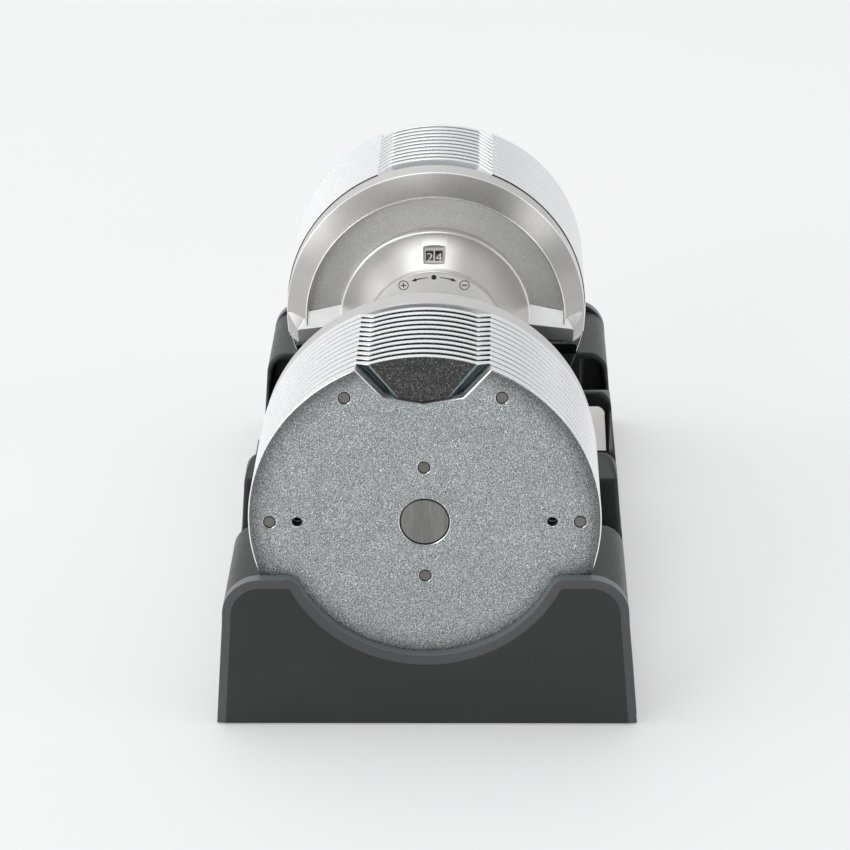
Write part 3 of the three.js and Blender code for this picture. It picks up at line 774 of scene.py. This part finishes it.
def insert_mesh():
    """pale insert with two apertures either side of a bar, in the window"""
    bm = bmesh.new()
    def quad_ring(outer, inner, n_top, n_bot):
        pass
    sh = Shell()
    # plate outline and two apertures, in window coordinates (a along the cone, y across)
    outer_ = [(-4.85, -5.55), (4.85, -5.55), (4.85, 5.55), (-4.85, 5.55)]
    ap = [[(-3.7, 0.5), (3.8, 0.5), (3.8, 4.9), (-3.7, 4.9)], [(-3.7, -4.9), (3.8, -4.9), (3.8, -0.5), (-3.7, -0.5)]]
    def rounded(poly, r_, n=5):
        out_ = []
        m = len(poly)
        for i in range(m):
            p0, p, p1 = (np.array(poly[j % m], float) for j in (i - 1, i, i + 1))
            d0, d1 = (p0 - p) / np.linalg.norm(p0 - p), (p1 - p) / np.linalg.norm(p1 - p)
            a_, b_ = p + d0 * r_, p + d1 * r_
            for k in np.linspace(0, 1, n):
                out_.append(tuple((1 - k) ** 2 * a_ + 2 * k * (1 - k) * p + k * k * b_))
        return out_
    out2 = rounded(outer_, 0.5)
    aps = [rounded(q, 0.55) for q in ap]
    def ring3(poly, n_, sc=0.0):
        c = np.mean(np.array(poly), 0)
        pts = []
        for a_, y_ in poly:
            d = np.array([a_, y_]) - c
            L = np.linalg.norm(d)
            q = c + d * (1 + sc / L)
            pts.append(WP(q[0], q[1], n_))
        return sh.ring(pts)
    o_top, o_bot = ring3(out2, 0.55), ring3(out2, -0.65)
    sh.band(o_top, o_bot, 0)
    tops, bots = [], []
    for q in aps:
        a_ = ring3(q, 0.55, 0.15); b_ = ring3(q, 0.40); c_ = ring3(q, -0.65)
        sh.band(a_, b_, 0); sh.band(b_, c_, 0)
        tops.append(a_); bots.append(c_)
    def cap2(outer, holes):
        loops = [outer] + holes
        flat = [i for lp in loops for i in lp]
        polys = []
        for lp in loops:
            polys.append([Vector((s_, t_, 0)) for s_, t_ in [(np.dot(np.array(sh.v[i]) - O_, A_), sh.v[i][1]) for i in lp]])
        for t in tessellate_polygon(polys):
            sh.face([flat[k] for k in t], 0)
    O_ = np.array(WP(0, 0, 0)); A_ = np.array(WP(1, 0, 0)) - O_
    cap2(o_top, tops)
    cap2(o_bot, bots)
    return sh.mesh("insert", [INSERT], 24.0)


def digit_mesh(ch, y_mid, size=6.6):
    """a raised generic numeral lying on the dial under the window"""
    cu = bpy.data.curves.new("digit", 'FONT')
    cu.body = ch
    cu.size = 1.0
    cu.extrude = 0.02
    cu.align_x = 'CENTER'
    cu.align_y = 'CENTER'
    ob = obj("digit_tmp", cu)
    bpy.context.view_layer.update()
    me = bpy.data.meshes.new_from_object(ob.evaluated_get(bpy.context.evaluated_depsgraph_get()))
    bpy.data.objects.remove(ob)
    n = len(me.vertices)
    co = np.empty(n * 3)
    me.vertices.foreach_get('co', co)
    co = co.reshape(n, 3)
    lo, hi = co.min(0), co.max(0)
    co[:, :2] -= (lo[:2] + hi[:2]) / 2
    co[:, :2] *= size / (hi[1] - lo[1])
    co[:, 0] *= 0.86
    pts = np.array([WP(y, -(x + y_mid), -1.1 + z) for x, y, z in co])
    me.vertices.foreach_set('co', pts.reshape(-1))
    me.materials.clear()
    me.materials.append(DIGIT)
    bm = bmesh.new()
    bm.from_mesh(me)
    bmesh.ops.remove_doubles(bm, verts=bm.verts, dist=1e-4)
    bmesh.ops.recalc_face_normals(bm, faces=bm.faces)
    bm.to_mesh(me)
    bm.free()
    smooth(me, 30.0)
    return me


insert = insert_mesh()
# dark backing behind the apertures: part of the dial
digits = [digit_mesh("2", -2.65), digit_mesh("4", 2.65)]


def plate_on_dial():
    sh = Shell()
    poly = [(-4.6, -5.2), (4.6, -5.2), (4.6, 5.2), (-4.6, 5.2)]
    a_ = sh.ring([WP(p, q, -1.15) for p, q in poly])
    b_ = sh.ring([WP(p * 1.02, q * 1.02, -1.3) for p, q in poly])
    c_ = sh.ring([WP(p * 1.02, q * 1.02, -1.8) for p, q in poly])
    sh.band(a_, b_, 0); sh.band(b_, c_, 0)
    sh.face(tuple(a_), 0); sh.face(tuple(c_), 0)
    return sh.mesh("dial_face", [DIAL], 24.0)


dial_face = plate_on_dial()


def ring_arrow_face():
    prof = [(17.6, 64.1), (17.6, 62.5), (17.9, 62.2), (39.7, 62.2), (40.15, 62.4), (40.45, 62.9), (40.6, 64.1)]
    return lathe("arrow_face", prof, [COLLAR, CAST], [0, 1, 0, 1, 1, 1, 0], 180, 24.0)


arrow_face = ring_arrow_face()


def decal(poly_list, x0=62.2, h=0.06):
    """thin raised print on the collar face; outlines are (y, z), first outer then holes"""
    sh = Shell()
    loops_a, loops_b = [], []
    for lp in poly_list:
        loops_a.append(sh.ring([(x0 - h, y, z) for y, z in lp]))
        loops_b.append(sh.ring([(x0 + 0.05, y, z) for y, z in lp]))
        sh.band(loops_a[-1], loops_b[-1], 0)
    sh.cap(loops_a[0], loops_a[1:], 0)
    sh.cap(loops_b[0], loops_b[1:], 0)
    return sh.mesh("print", [INK], 24.0)


def polar(a_deg, r_):
    a = math.radians(90 - a_deg)
    return (r_ * math.cos(a), r_ * math.sin(a))


def arrow_print(sg):
    """arc with a pointed head, from 5 to 22 degrees off the top"""
    r_, w = 37.0, 0.38
    a0, a1, a2 = 5.2, 16.0, 20.6
    outer_ = [polar(sg * a, r_ + w * (0.45 + 0.55 * (a - a0) / (a1 - a0))) for a in np.linspace(a0, a1, 10)]
    headp = [polar(sg * a1, r_ + 1.05), polar(sg * a2, r_ - 0.05), polar(sg * a1, r_ - 1.05)]
    inner_ = [polar(sg * a, r_ - w * (0.45 + 0.55 * (a - a0) / (a1 - a0))) for a in np.linspace(a1, a0, 10)]
    return [outer_ + headp + inner_]


prints = []
prints.append(("dot", [circle(0, 37.0, 1.5, 32)]))
for sg, nm in ((1, "a"), (-1, "b")):
    prints.append(("arrow_" + nm, arrow_print(sg)))
    cy, cz = polar(sg * 28.7, 36.6)
    prints.append(("ring_" + nm, [circle(cy, cz, 2.95, 40), circle(cy, cz, 2.5, 40)[::-1]]))
    w, L = 0.27, 1.55
    if sg > 0:      # plus on the +Y side of the local frame
        prints.append(("plus", [[(cy - L, cz - w), (cy - w, cz - w), (cy - w, cz - L), (cy + w, cz - L), (cy + w, cz - w), (cy + L, cz - w),
                                (cy + L, cz + w), (cy + w, cz + w), (cy + w, cz + L), (cy - w, cz + L), (cy - w, cz + w), (cy - L, cz + w)]]))
    else:
        prints.append(("minus", [[(cy - L, cz - w * 1.3), (cy + L, cz - w * 1.3), (cy + L, cz + w * 1.3), (cy - L, cz + w * 1.3)]]))
print_me = [(n, decal(p)) for n, p in prints]

for side, tag in ((1, "right"), (-1, "left")):
    nm = "head_casting_" + tag
    piece("satin_" + nm, moved(head, "satin_" + nm, 0, side), "dumbbell", [nm])
    piece("window_insert_" + tag, moved(insert, "window_insert_" + tag, 0, side), "dumbbell", ["window_lens_" + tag])
    piece("arrow_collar_" + tag, moved(arrow_face, "arrow_collar_" + tag, 0, side), "dumbbell", ["arrow_ring_" + tag])
    for n, me in print_me:
        piece("print_%s_%s" % (n, tag), moved(me, "print_%s_%s" % (n, tag), 0, side), "dumbbell", ())
    piece("dial_face_" + tag, moved(dial_face, "dial_face_" + tag, 0, side), "grip", ())
    for i, me in enumerate(digits):
        piece("digit_%d_%s" % (i + 1, tag), moved(me, "digit_%d_%s" % (i + 1, tag), 0, side), "grip", ())


# ------------------------------------------------------------------ grip with a real diamond knurl
def grip_mesh():
    nu, nv_ = 330, 348
    L = 61.9
    xs = np.linspace(-L, L, nv_)
    ang = np.linspace(0, 2 * math.pi, nu, endpoint=False)
    X, A = np.meshgrid(xs, ang, indexing='ij')
    n_d = 55
    pitch = 2 * math.pi * 17.0 / n_d
    p = A * n_d / (2 * math.pi)
    q = X / pitch
    tri = lambda t: np.abs((t % 1.0) - 0.5) * 2.0
    h = np.minimum(tri(p + q), tri(p - q))
    h = np.clip(h * 1.35, 0, 0.8) / 0.8
    edge = np.clip((54.5 - np.abs(X)) / 1.2, 0, 1)
    rad = 17.0 - 0.38 + 0.38 * (h * edge + (1 - edge) * 0.9)
    band = np.clip((np.abs(X) - 60.7) / 1.2, 0, 1)
    rad = rad - 0.55 * band
    V = np.stack([X, rad * np.cos(A), rad * np.sin(A)], -1).reshape(-1, 3)
    sh = Shell()
    sh.v = [tuple(v) for v in V]
    for i in range(nv_ - 1):
        for j in range(nu):
            k = (j + 1) % nu
            sh.face((i * nu + j, i * nu + k, (i + 1) * nu + k, (i + 1) * nu + j), 0)
    inn = []
    for xe in (-L, L):
        inn.append(sh.ring([(xe, 15.3 * math.cos(a), 15.3 * math.sin(a)) for a in ang]))
    sh.band(list(range(nu)), inn[0], 1)
    sh.band(inn[0], inn[1], 1)
    sh.band(inn[1], list(range((nv_ - 1) * nu, nv_ * nu)), 1)
    return sh.mesh("grip", [KNURL, STEEL], 60.0)


piece("knurled_grip", moved(grip_mesh(), "knurled_grip", 0, 1), "grip", ["grip_sleeve"])


# ------------------------------------------------------------------ cradle: distance field, then a skin over it
def smax(a, b, k):
    h = np.maximum(k - np.abs(a - b), 0.0)
    return np.maximum(a, b) + h * h / (4.0 * k)


def smin(a, b, k):
    return -smax(-a, -b, k)


def poly_sd(pts):
    """signed distance to a closed outline in Y-Z"""
    P_ = np.array(pts, float)
    def fn(y, z):
        d = None
        inside = None
        n = len(P_)
        for i in range(n):
            a, b = P_[i], P_[(i + 1) % n]
            ey, ez = b[0] - a[0], b[1] - a[1]
            wy, wz = y - a[0], z - a[1]
            t = np.clip((wy * ey + wz * ez) / (ey * ey + ez * ez), 0, 1)
            q = (wy - ey * t) ** 2 + (wz - ez * t) ** 2
            d = q if d is None else np.minimum(d, q)
            c = ((a[1] > z) != (b[1] > z)) & (y < ey * (z - a[1]) / (ez if ez != 0 else 1e-9) + a[0])
            inside = c if inside is None else inside ^ c
        d = np.sqrt(d)
        return np.where(inside, -d, d)
    return fn


def mirrored(right):
    """right-hand points from the bottom up, mirrored to a full outline with a deep foot"""
    return [(108.2 + 4.02, -50.0)] + right + [(-y, z) for y, z in right[::-1]] + [(-108.2 - 4.02, -50.0)]


def arc_pts(c, r_, a0, a1, n):
    return [(c[0] + r_ * math.cos(math.radians(a)), c[1] + r_ * math.sin(math.radians(a))) for a in np.linspace(a0, a1, n)]


# wing of the end wall: big rounded shoulder; shelf and middle block: smaller ones
sd_end = poly_sd(mirrored([(108.2, 0.8), (103.6, 58.0)] + arc_pts((81.0, 59.6), 22.9, 4, 62, 9) + arc_pts((80.4, 62.2), 22.3, 70, 88, 3)))
sd_shelf = poly_sd(mirrored([(108.2, 0.8), (103.3, 61.5)] + arc_pts((90.4, 64.3), 12.7, 6, 88, 9)))
sd_block = poly_sd(mirrored([(108.2, 0.8), (102.2, 75.6)] + arc_pts((93.2, 75.6), 8.9, 6, 88, 8)))
sd_hollow = poly_sd([(87.5, 38.5), (102.5, 38.5), (101.2, 56), (99.8, 65.5), (98.0, 69.6), (95.2, 72.0), (92.0, 72.8), (87.5, 72.0)])


def cradle_sd(x, y, z):
    ax, ay = np.abs(x), np.abs(y)
    rz = np.sqrt(y * y + (z - 111.0) ** 2)
    # end walls with the round cut and the front chamfer
    end = smax(smax(sd_end(y, z) + 1.6, -(rz - 72.0), 1.0), smax(ax - 196.5, 193.4 - ax, 0.5), 0.5)
    side_pl = (ay - 108.2 + 0.0804 * (z - 0.8)) * 0.9968
    # shelf beside the plates
    shelf = smax(sd_shelf(y, z), smax(121.9 - ax, ax - 194.0, 0.8), 1.4)
    shelf = smax(shelf, -(rz - 89.5), 1.0)
    # inner body under the hub
    inner = smax(smax(ay - 76.0, z - 77.0, 1.6), smax(ax - 123.0, 44.0 - ax, 1.0), 1.4)
    trough = smax(rz - 89.5, 113.0 - ax, 0.8)
    inner = smax(inner, -trough, 1.0)
    inner = smax(inner, -(rz - 60.0), 1.2)
    inner = smax(inner, -smax(smax(np.abs(y) - 34.0, 46.0 - z, 1.0), ax - 113.0, 1.0), 1.0)
    # middle block, top sloping away
    block = smax(sd_block(y, z), smax(ax - 64.0, 43.0 - ax, 0.8), 1.4)
    block = smax(block, ((ax - 45.0) * 7.5 + (z - 84.5) * 19.0) / 20.43, 1.6)
    block = smax(block, -(rz - 60.0), 1.2)
    block = smax(block, -smax(smax(np.abs(y) - 34.0, 46.0 - z, 1.0), 0 * ax - 1.0, 0.1), 1.0)
    gone = smax(smax(y + 50.0, x + 40.0, 0.8), 46.0 - z, 0.8)
    block = smax(block, -gone, 1.0)
    # thin outer wall on one side of the middle
    wall = smax(smax(sd_block(y, z), z - 79.2, 0.6), smax(ax - 46.0, 101.2 - y, 0.5), 0.7)
    # rests under the flat foot of each head
    rest = smax(smax(smax(np.abs(ax - 104.8) - 7.8, 56.0 - ay, 0.8), smax(ay - 86.0, np.abs(z - 76.0) - 16.5, 1.0), 1.4), smax(rz - 87.0, 60.0 - rz, 0.8), 1.0)
    # base all along
    base = smax(smax(side_pl, ax - 200.0, 0.8), z - np.where(ax < 64, 46.0, 37.0), 1.2)
    base_mid = smax(smax(side_pl, ax - 63.8, 0.8), z - 46.0, 1.2)
    base_all = smax(smax(side_pl, ax - 194.2, 0.8), z - 37.0, 1.2)
    base_all = smax(base_all, -smax(rz - 89.5, smax(113.0 - ax, ax - 193.0, 0.8), 0.8), 1.0)
    d = shelf
    d = smin(d, inner, 0.9)
    d = smin(d, block, 0.9)
    d = smin(d, wall, 0.6)
    d = smin(d, rest, 0.6)
    d = smin(d, base_mid, 0.9)
    d = smin(d, base_all, 0.9)
    # hollow shelf ends, post holes, foot recesses
    d = smax(d, -smax(sd_hollow(ay, z), smax(120.0 - ax, ax - 141.0, 0.8), 1.0), 0.8)
    post = np.sqrt((ax - 85.8) ** 2 + y * y) - 5.3
    d = smax(d, -smax(post, 39.7 - z, 0.4), 0.5)
    ft = np.sqrt((ax - 172.0) ** 2 + (ay - 86.0) ** 2) - 8.4
    d = smax(d, -smax(ft, z - 3.3, 0.3), 0.4)
    return smax(d, 0.8 - z, 0.6)


def skin(fn, lo, hi, h):
    """closed quad skin over the zero level of fn, then slid exactly on to it"""
    ax_ = [np.arange(lo[i], hi[i] + h, h) for i in range(3)]
    nx = len(ax_[0])
    F_ = np.empty((nx, len(ax_[1]), len(ax_[2])), np.float32)
    y_, z_ = ax_[1][None, :, None], ax_[2][None, None, :]
    for s in range(0, nx, 24):
        F_[s:s + 24] = fn(ax_[0][s:s + 24][:, None, None], y_, z_)
    S = F_ < 0
    cnt = np.zeros(tuple(n - 1 for n in S.shape), np.int8)
    offs = [(a, b, c) for a in (0, 1) for b in (0, 1) for c in (0, 1)]
    for a, b, c in offs:
        cnt += S[a:S.shape[0] - 1 + a, b:S.shape[1] - 1 + b, c:S.shape[2] - 1 + c]
    act = (cnt > 0) & (cnt < 8)
    idx = np.full(act.shape, -1, np.int32)
    I, J, K_ = np.nonzero(act)
    idx[I, J, K_] = np.arange(len(I))
    acc = np.zeros((len(I), 3))
    num = np.zeros(len(I))
    for a in offs:
        for b in offs:
            if sum(abs(a[i] - b[i]) for i in range(3)) != 1 or b < a:
                continue
            fa = F_[I + a[0], J + a[1], K_ + a[2]].astype(float)
            fb = F_[I + b[0], J + b[1], K_ + b[2]].astype(float)
            m = (fa < 0) != (fb < 0)
            t = np.where(m, fa / np.where(m, fa - fb, 1.0), 0.0)
            for i in range(3):
                acc[:, i] += np.where(m, a[i] + t * (b[i] - a[i]), 0.0)
            num += m
    V = np.array([lo]) + h * (np.stack([I, J, K_], 1) + acc / num[:, None])
    quads = []
    for d in range(3):
        e1, e2 = (d + 1) % 3, (d + 2) % 3
        n = S.shape
        sl0 = [slice(1, n[i] - 1) for i in range(3)]
        sl1 = list(sl0)
        sl0[d] = slice(0, n[d] - 1)
        sl1[d] = slice(1, n[d])
        A_, B_ = S[tuple(sl0)], S[tuple(sl1)]
        P_ = np.stack(np.nonzero(A_ != B_), 1)
        up = A_[tuple(P_.T)]
        base_ = P_.copy()
        base_[:, e1] += 1
        base_[:, e2] += 1
        c = []
        for a, b in ((-1, -1), (0, -1), (0, 0), (-1, 0)):
            q = base_.copy()
            q[:, e1] += a
            q[:, e2] += b
            c.append(idx[q[:, 0], q[:, 1], q[:, 2]])
        Q = np.stack(c, 1)
        Q[~up] = Q[~up][:, ::-1]
        quads.append(Q)
    Q = np.concatenate(quads)
    for _ in range(2):
        e = 0.05
        v0 = fn(V[:, 0], V[:, 1], V[:, 2])
        g = np.stack([(fn(*(V + np.eye(3)[i] * e).T) - v0) / e for i in range(3)], 1)
        gl = np.maximum((g * g).sum(1), 0.2)
        step = -(v0 / gl)[:, None] * g
        ln = np.linalg.norm(step, axis=1)[:, None]
        V = V + step * np.minimum(1.0, 0.6 * h / np.maximum(ln, 1e-9))
    return V, Q


H = 1.3
V, Q = skin(cradle_sd, (-203.0 - 0.13, -111.0 - 0.21, -1.2), (203.5, 111.5, 87.0), H)
V = V * 0.001
me = bpy.data.meshes.new("cradle_skin")
me.vertices.add(len(V)); me.vertices.foreach_set('co', V.astype(np.float32).reshape(-1))
me.loops.add(len(Q) * 4); me.loops.foreach_set('vertex_index', Q.astype(np.int32).reshape(-1))
me.polygons.add(len(Q)); me.polygons.foreach_set('loop_start', np.arange(0, len(Q) * 4, 4, dtype=np.int32))
me.update(calc_edges=True)
me.materials.append(PLASTIC)
me.polygons.foreach_set('use_smooth', [True] * len(Q))
cradle = piece("moulded_cradle", me, "cradle", ["cradle_tray"])


def wall_outline():
    """outline of the end wall with outward normals, closed, the foot corners squared"""
    P_, N_ = [], []
    def add(p, n, m=1.0):
        n = np.array(n, float); P_.append(p); N_.append(n / np.linalg.norm(n) * m)
    sl = (108.2 - 103.6) / 57.2
    sn = np.array([1.0, sl]) / math.hypot(1, sl)
    half = []
    # right half from the foot up: side, shoulder arc, top flat, lip, round cut
    bis = np.array([sn[0], sn[1] - 1.0])
    half.append(((108.2, 0.8), tuple(bis / (bis @ sn))))
    for z in (8, 22, 36, 48, 57.0):
        half.append(((108.2 - sl * (z - 0.8), z), tuple(sn)))
    c, r_ = (83.6, 62.6), 21.9
    for a in np.linspace(4.6, 90, 22):
        q = math.radians(a)
        y_, z_ = c[0] + (19.95 if a < 0 else 1) * 0, c[1]
        ry = 19.95 + 0.0
        half.append(((c[0] + 19.75 * math.cos(q), c[1] + 19.6 * math.sin(q)), (math.cos(q) / 19.75, math.sin(q) / 19.6)))
    for y in (80.5, 77.0, 73.5):
        half.append(((y, 82.2), (0, 1)))
    # lip between the flat and the round cut
    lip_c, lr = (70.2, 75.2), 7.0
    for a in np.linspace(90, 153.0, 14):
        q = math.radians(a)
        half.append(((lip_c[0] + lr * math.cos(q), lip_c[1] + lr * math.sin(q)), (math.cos(q), math.sin(q))))
    th0 = math.atan2(78.38 - 111.0, 63.96)
    for t in np.linspace(th0 - 0.03, -math.pi / 2, 44):
        half.append(((71.8 * math.cos(t), 111 + 71.8 * math.sin(t)), (-math.cos(t), -math.sin(t))))
    for p, n in half:
        P_.append(p); N_.append(n)
    for p, n in half[-2::-1]:
        P_.append((-p[0], p[1])); N_.append((-n[0], n[1]))
    P_ = np.array(P_); N_ = np.array(N_, float)
    L = np.linalg.norm(N_, axis=1)
    keep = np.ones(len(N_), bool); keep[0] = keep[-1] = False
    N_[keep] /= L[keep][:, None]
    return P_, N_


def wall_mesh():
    P_, N_ = wall_outline()
    sh = Shell()
    def rg(x, d, foot=0.0):
        pts = []
        for i, (p, n) in enumerate(zip(P_, N_)):
            q = p - n * d
            if i in (0, len(P_) - 1):
                q = np.array([p[0] - np.sign(p[0]) * d, 0.8 + foot])
            pts.append((x, q[0], q[1] - 111.0))
        return sh.ring(pts)
    lv = [(193.0, 0.9, 0.25), (193.15, 0.35, 0.1), (193.6, 0.0, 0.0), (199.2, 0.0, 0.0), (199.6, 0.1, 0.0), (199.9, 0.42, 0.02),
          (200.65, 4.4, 0.1), (200.82, 4.8, 0.2), (200.9, 5.3, 0.4)]
    rs = [rg(*l) for l in lv]
    for i in range(len(rs) - 1):
        # painted sheen: the long faces of the wall take the pale top material and the front chamfer the rubbed one,
        # both lifted above the black plastic where they face the light
        sh.band(rs[i], rs[i + 1], 2 if 1 <= i <= 3 else 1 if 4 <= i <= 5 else 0)
    sh.cap(rs[0], [], 0)
    sh.cap(rs[-1], [], 0)
    me_ = sh.mesh("end_wall", [PLASTIC, RUBBED_AND_SHEEN, SHEEN_TOP], 14.0)
    return me_


wall_me = wall_mesh()
for side, tag in ((1, "right"), (-1, "left")):
    piece("end_wall_" + tag, moved(wall_me, "end_wall_" + tag, 0, side), "cradle", ())


# ------------------------------------------------------------------ label, feet, posts
def slab(name, outline, x0, x1, mats, ch=0.15):
    """outline in absolute Y-Z millimetres extruded along X with a small edge break"""
    sh = Shell()
    c = np.mean(np.array(outline), 0)
    def rg(x, d):
        out_ = []
        for p in outline:
            v = np.array(p) - c
            out_.append((x, *(c + v * (1 - d / np.linalg.norm(v)))))
        return sh.ring(out_)
    rs = [rg(x0, ch), rg(x0 + ch * 0.5, 0), rg(x1 - ch * 0.5, 0), rg(x1, ch)]
    for i in range(3):
        sh.band(rs[i], rs[i + 1], 0)
    sh.cap(rs[0], [], 0)
    sh.cap(rs[-1], [], 0)
    for i, v in enumerate(sh.v):
        sh.v[i] = (v[0] * 0.001, v[1] * 0.001, v[2] * 0.001)
    return sh.mesh(name, mats, 26.0)


lab = [(78.2, 47.7), (99.6, 47.7), (99.0, 60.0), (98.4, 69.5)] + arc_pts((93.6, 70.4), 4.9, 5, 88, 8) + [(78.2, 75.3)]
piece("blank_label", slab("blank_label", lab, -42.66, -42.25, [LABEL], 0.08), "cradle", ["tray_label"])


def turned_z(name, prof, cx, cy, mats, seg=48):
    sh = Shell()
    rings = [sh.ring([((cx + r_ * math.cos(2 * math.pi * i / seg)) * 0.001, (cy + r_ * math.sin(2 * math.pi * i / seg)) * 0.001, z * 0.001) for i in range(seg)]) for r_, z in prof]
    for i in range(len(prof) - 1):
        sh.band(rings[i], rings[i + 1], 0)
    sh.face(tuple(rings[0]), 0)
    sh.face(tuple(rings[-1]), 0)
    return sh.mesh(name, mats, 30.0)


i = 1
for sx in (1, -1):
    for sy in (1, -1):
        piece("rubber_foot_%d" % i, turned_z("rubber_foot_%d" % i, [(6.6, 0.0), (7.5, 0.12), (7.95, 0.6), (8.0, 1.2), (8.0, 3.0)], sx * 172, sy * 86, [RUBBER]), "cradle", ["foot_%d" % i])
        i += 1
for sx, tag in ((1, "right"), (-1, "left")):
    piece("post_" + tag, turned_z("post_" + tag, [(5.0, 40.0), (5.0, 52.6), (4.7, 53.3), (3.9, 53.65), (2.4, 53.7)], sx * 85.8, 0, [POST]), "cradle", ["release_post_" + tag])

# ------------------------------------------------------------------ carried-over mechanism
KEEP = {"drive_pin": STEEL, "helix_tube": STEEL, "guide_plate": STEEL, "head_screw_1": STEEL, "head_screw_2": STEEL, "detent_plunger": BRASS,
        "number_dial": DIAL, "index_ring": STEEL, "lock_slider": STEEL, "lock_spring": SPRING}
for name, ob in frame["nodes"].items():
    for key, mt in KEEP.items():
        if name.startswith(key):
            if not ob.material_slots:
                ob.data.materials.append(mt)
            for sl in ob.material_slots:
                sl.link = 'OBJECT'
                sl.material = mt

# ------------------------------------------------------------------ stage and light
fl = bpy.data.meshes.new("floor")
fl.from_pydata([(-7, -7, 0), (7, -7, 0), (7, 7, 0), (-7, 7, 0)], [], [(0, 1, 2, 3)])
a = Mat("floor_sweep", rough=0.7, spec=0.2)
fc = a.ramp(a.noise(1.2, 3.0, 0.5), [(0.3, (0.60, 0.60, 0.603)), (0.7, (0.61, 0.61, 0.613))])
a.color(fc)
a.l(fc, a.b.inputs['Emission Color'])
a.b.inputs['Emission Strength'].default_value = 0.53
fl.materials.append(a.m)
floor = obj("floor", fl)

w = bpy.data.worlds.new("studio")
scene.world = w
w.use_nodes = True
nt = w.node_tree
nt.nodes.clear()
wo, bg = nt.nodes.new('ShaderNodeOutputWorld'), nt.nodes.new('ShaderNodeBackground')
tc = nt.nodes.new('ShaderNodeTexCoord')
sp = nt.nodes.new('ShaderNodeSeparateXYZ')
cr = nt.nodes.new('ShaderNodeValToRGB')
nt.links.new(tc.outputs['Generated'], sp.inputs[0])
def wmap(v, lo, hi, c, d):
    n = nt.nodes.new('ShaderNodeMapRange')
    n.interpolation_type = 'SMOOTHSTEP'
    nt.links.new(v, n.inputs['Value'])
    for k, x in (('From Min', lo), ('From Max', hi), ('To Min', c), ('To Max', d)):
        n.inputs[k].default_value = x
    return n.outputs['Result']


def wmath(op, a_, b_):
    n = nt.nodes.new('ShaderNodeMath')
    n.operation = op
    for i_, v in ((0, a_), (1, b_)):
        if isinstance(v, float):
            n.inputs[i_].default_value = v
        else:
            nt.links.new(v, n.inputs[i_])
    return n.outputs[0]


# dim patch of ceiling above the viewer, a little less light on the right
dim = wmath('MULTIPLY', wmap(sp.outputs[0], 0.2, 0.62, 0.0, 1.0), wmap(sp.outputs[2], 0.1, 0.5, 0.0, 1.0))
val = wmath('SUBTRACT', 1.0, wmath('MULTIPLY', dim, 0.72))
val = wmath('MULTIPLY', val, wmap(sp.outputs[1], -0.2, 1.0, 1.0, 0.68))
nt.links.new(val, cr.inputs['Fac'])
e = cr.color_ramp.elements
e[0].position, e[0].color = 0.0, (0.0, 0.0, 0.0, 1)
e[1].position, e[1].color = 1.0, (0.985, 0.992, 1.0, 1)
nt.links.new(cr.outputs['Color'], bg.inputs['Color'])
bg.inputs['Strength'].default_value = 0.845
nt.links.new(bg.outputs['Background'], wo.inputs['Surface'])


def area(name, loc, target, size, energy, color=(1, 1, 1), size_y=None):
    li = bpy.data.lights.new(name, 'AREA')
    li.shape = 'RECTANGLE'
    li.size = size
    li.size_y = size_y or size
    li.energy = energy
    li.color = color
    ob = bpy.data.objects.new(name, li)
    scene.collection.objects.link(ob)
    ob.location = loc
    d = Vector(target) - Vector(loc)
    ob.rotation_euler = d.to_track_quat('-Z', 'Y').to_euler()
    return ob


area("top_soft", (-0.5, -0.7, 4.0), (0, 0, 0.1), 3.8, 44.0, (1.0, 0.998, 0.99), 3.2)
area("front_left_soft", (3.4, -2.9, 2.0), (0.1, 0, 0.12), 1.8, 34.0, (1.0, 1.0, 1.0), 1.5)
area("left_soft", (0.1, -4.0, 1.7), (0, 0, 0.1), 2.2, 18.0, (1.0, 1.0, 1.0), 1.6)
area("right_soft", (1.2, 3.6, 2.2), (0, 0, 0.1), 1.8, 12.0, (0.98, 0.99, 1.0), 1.5)
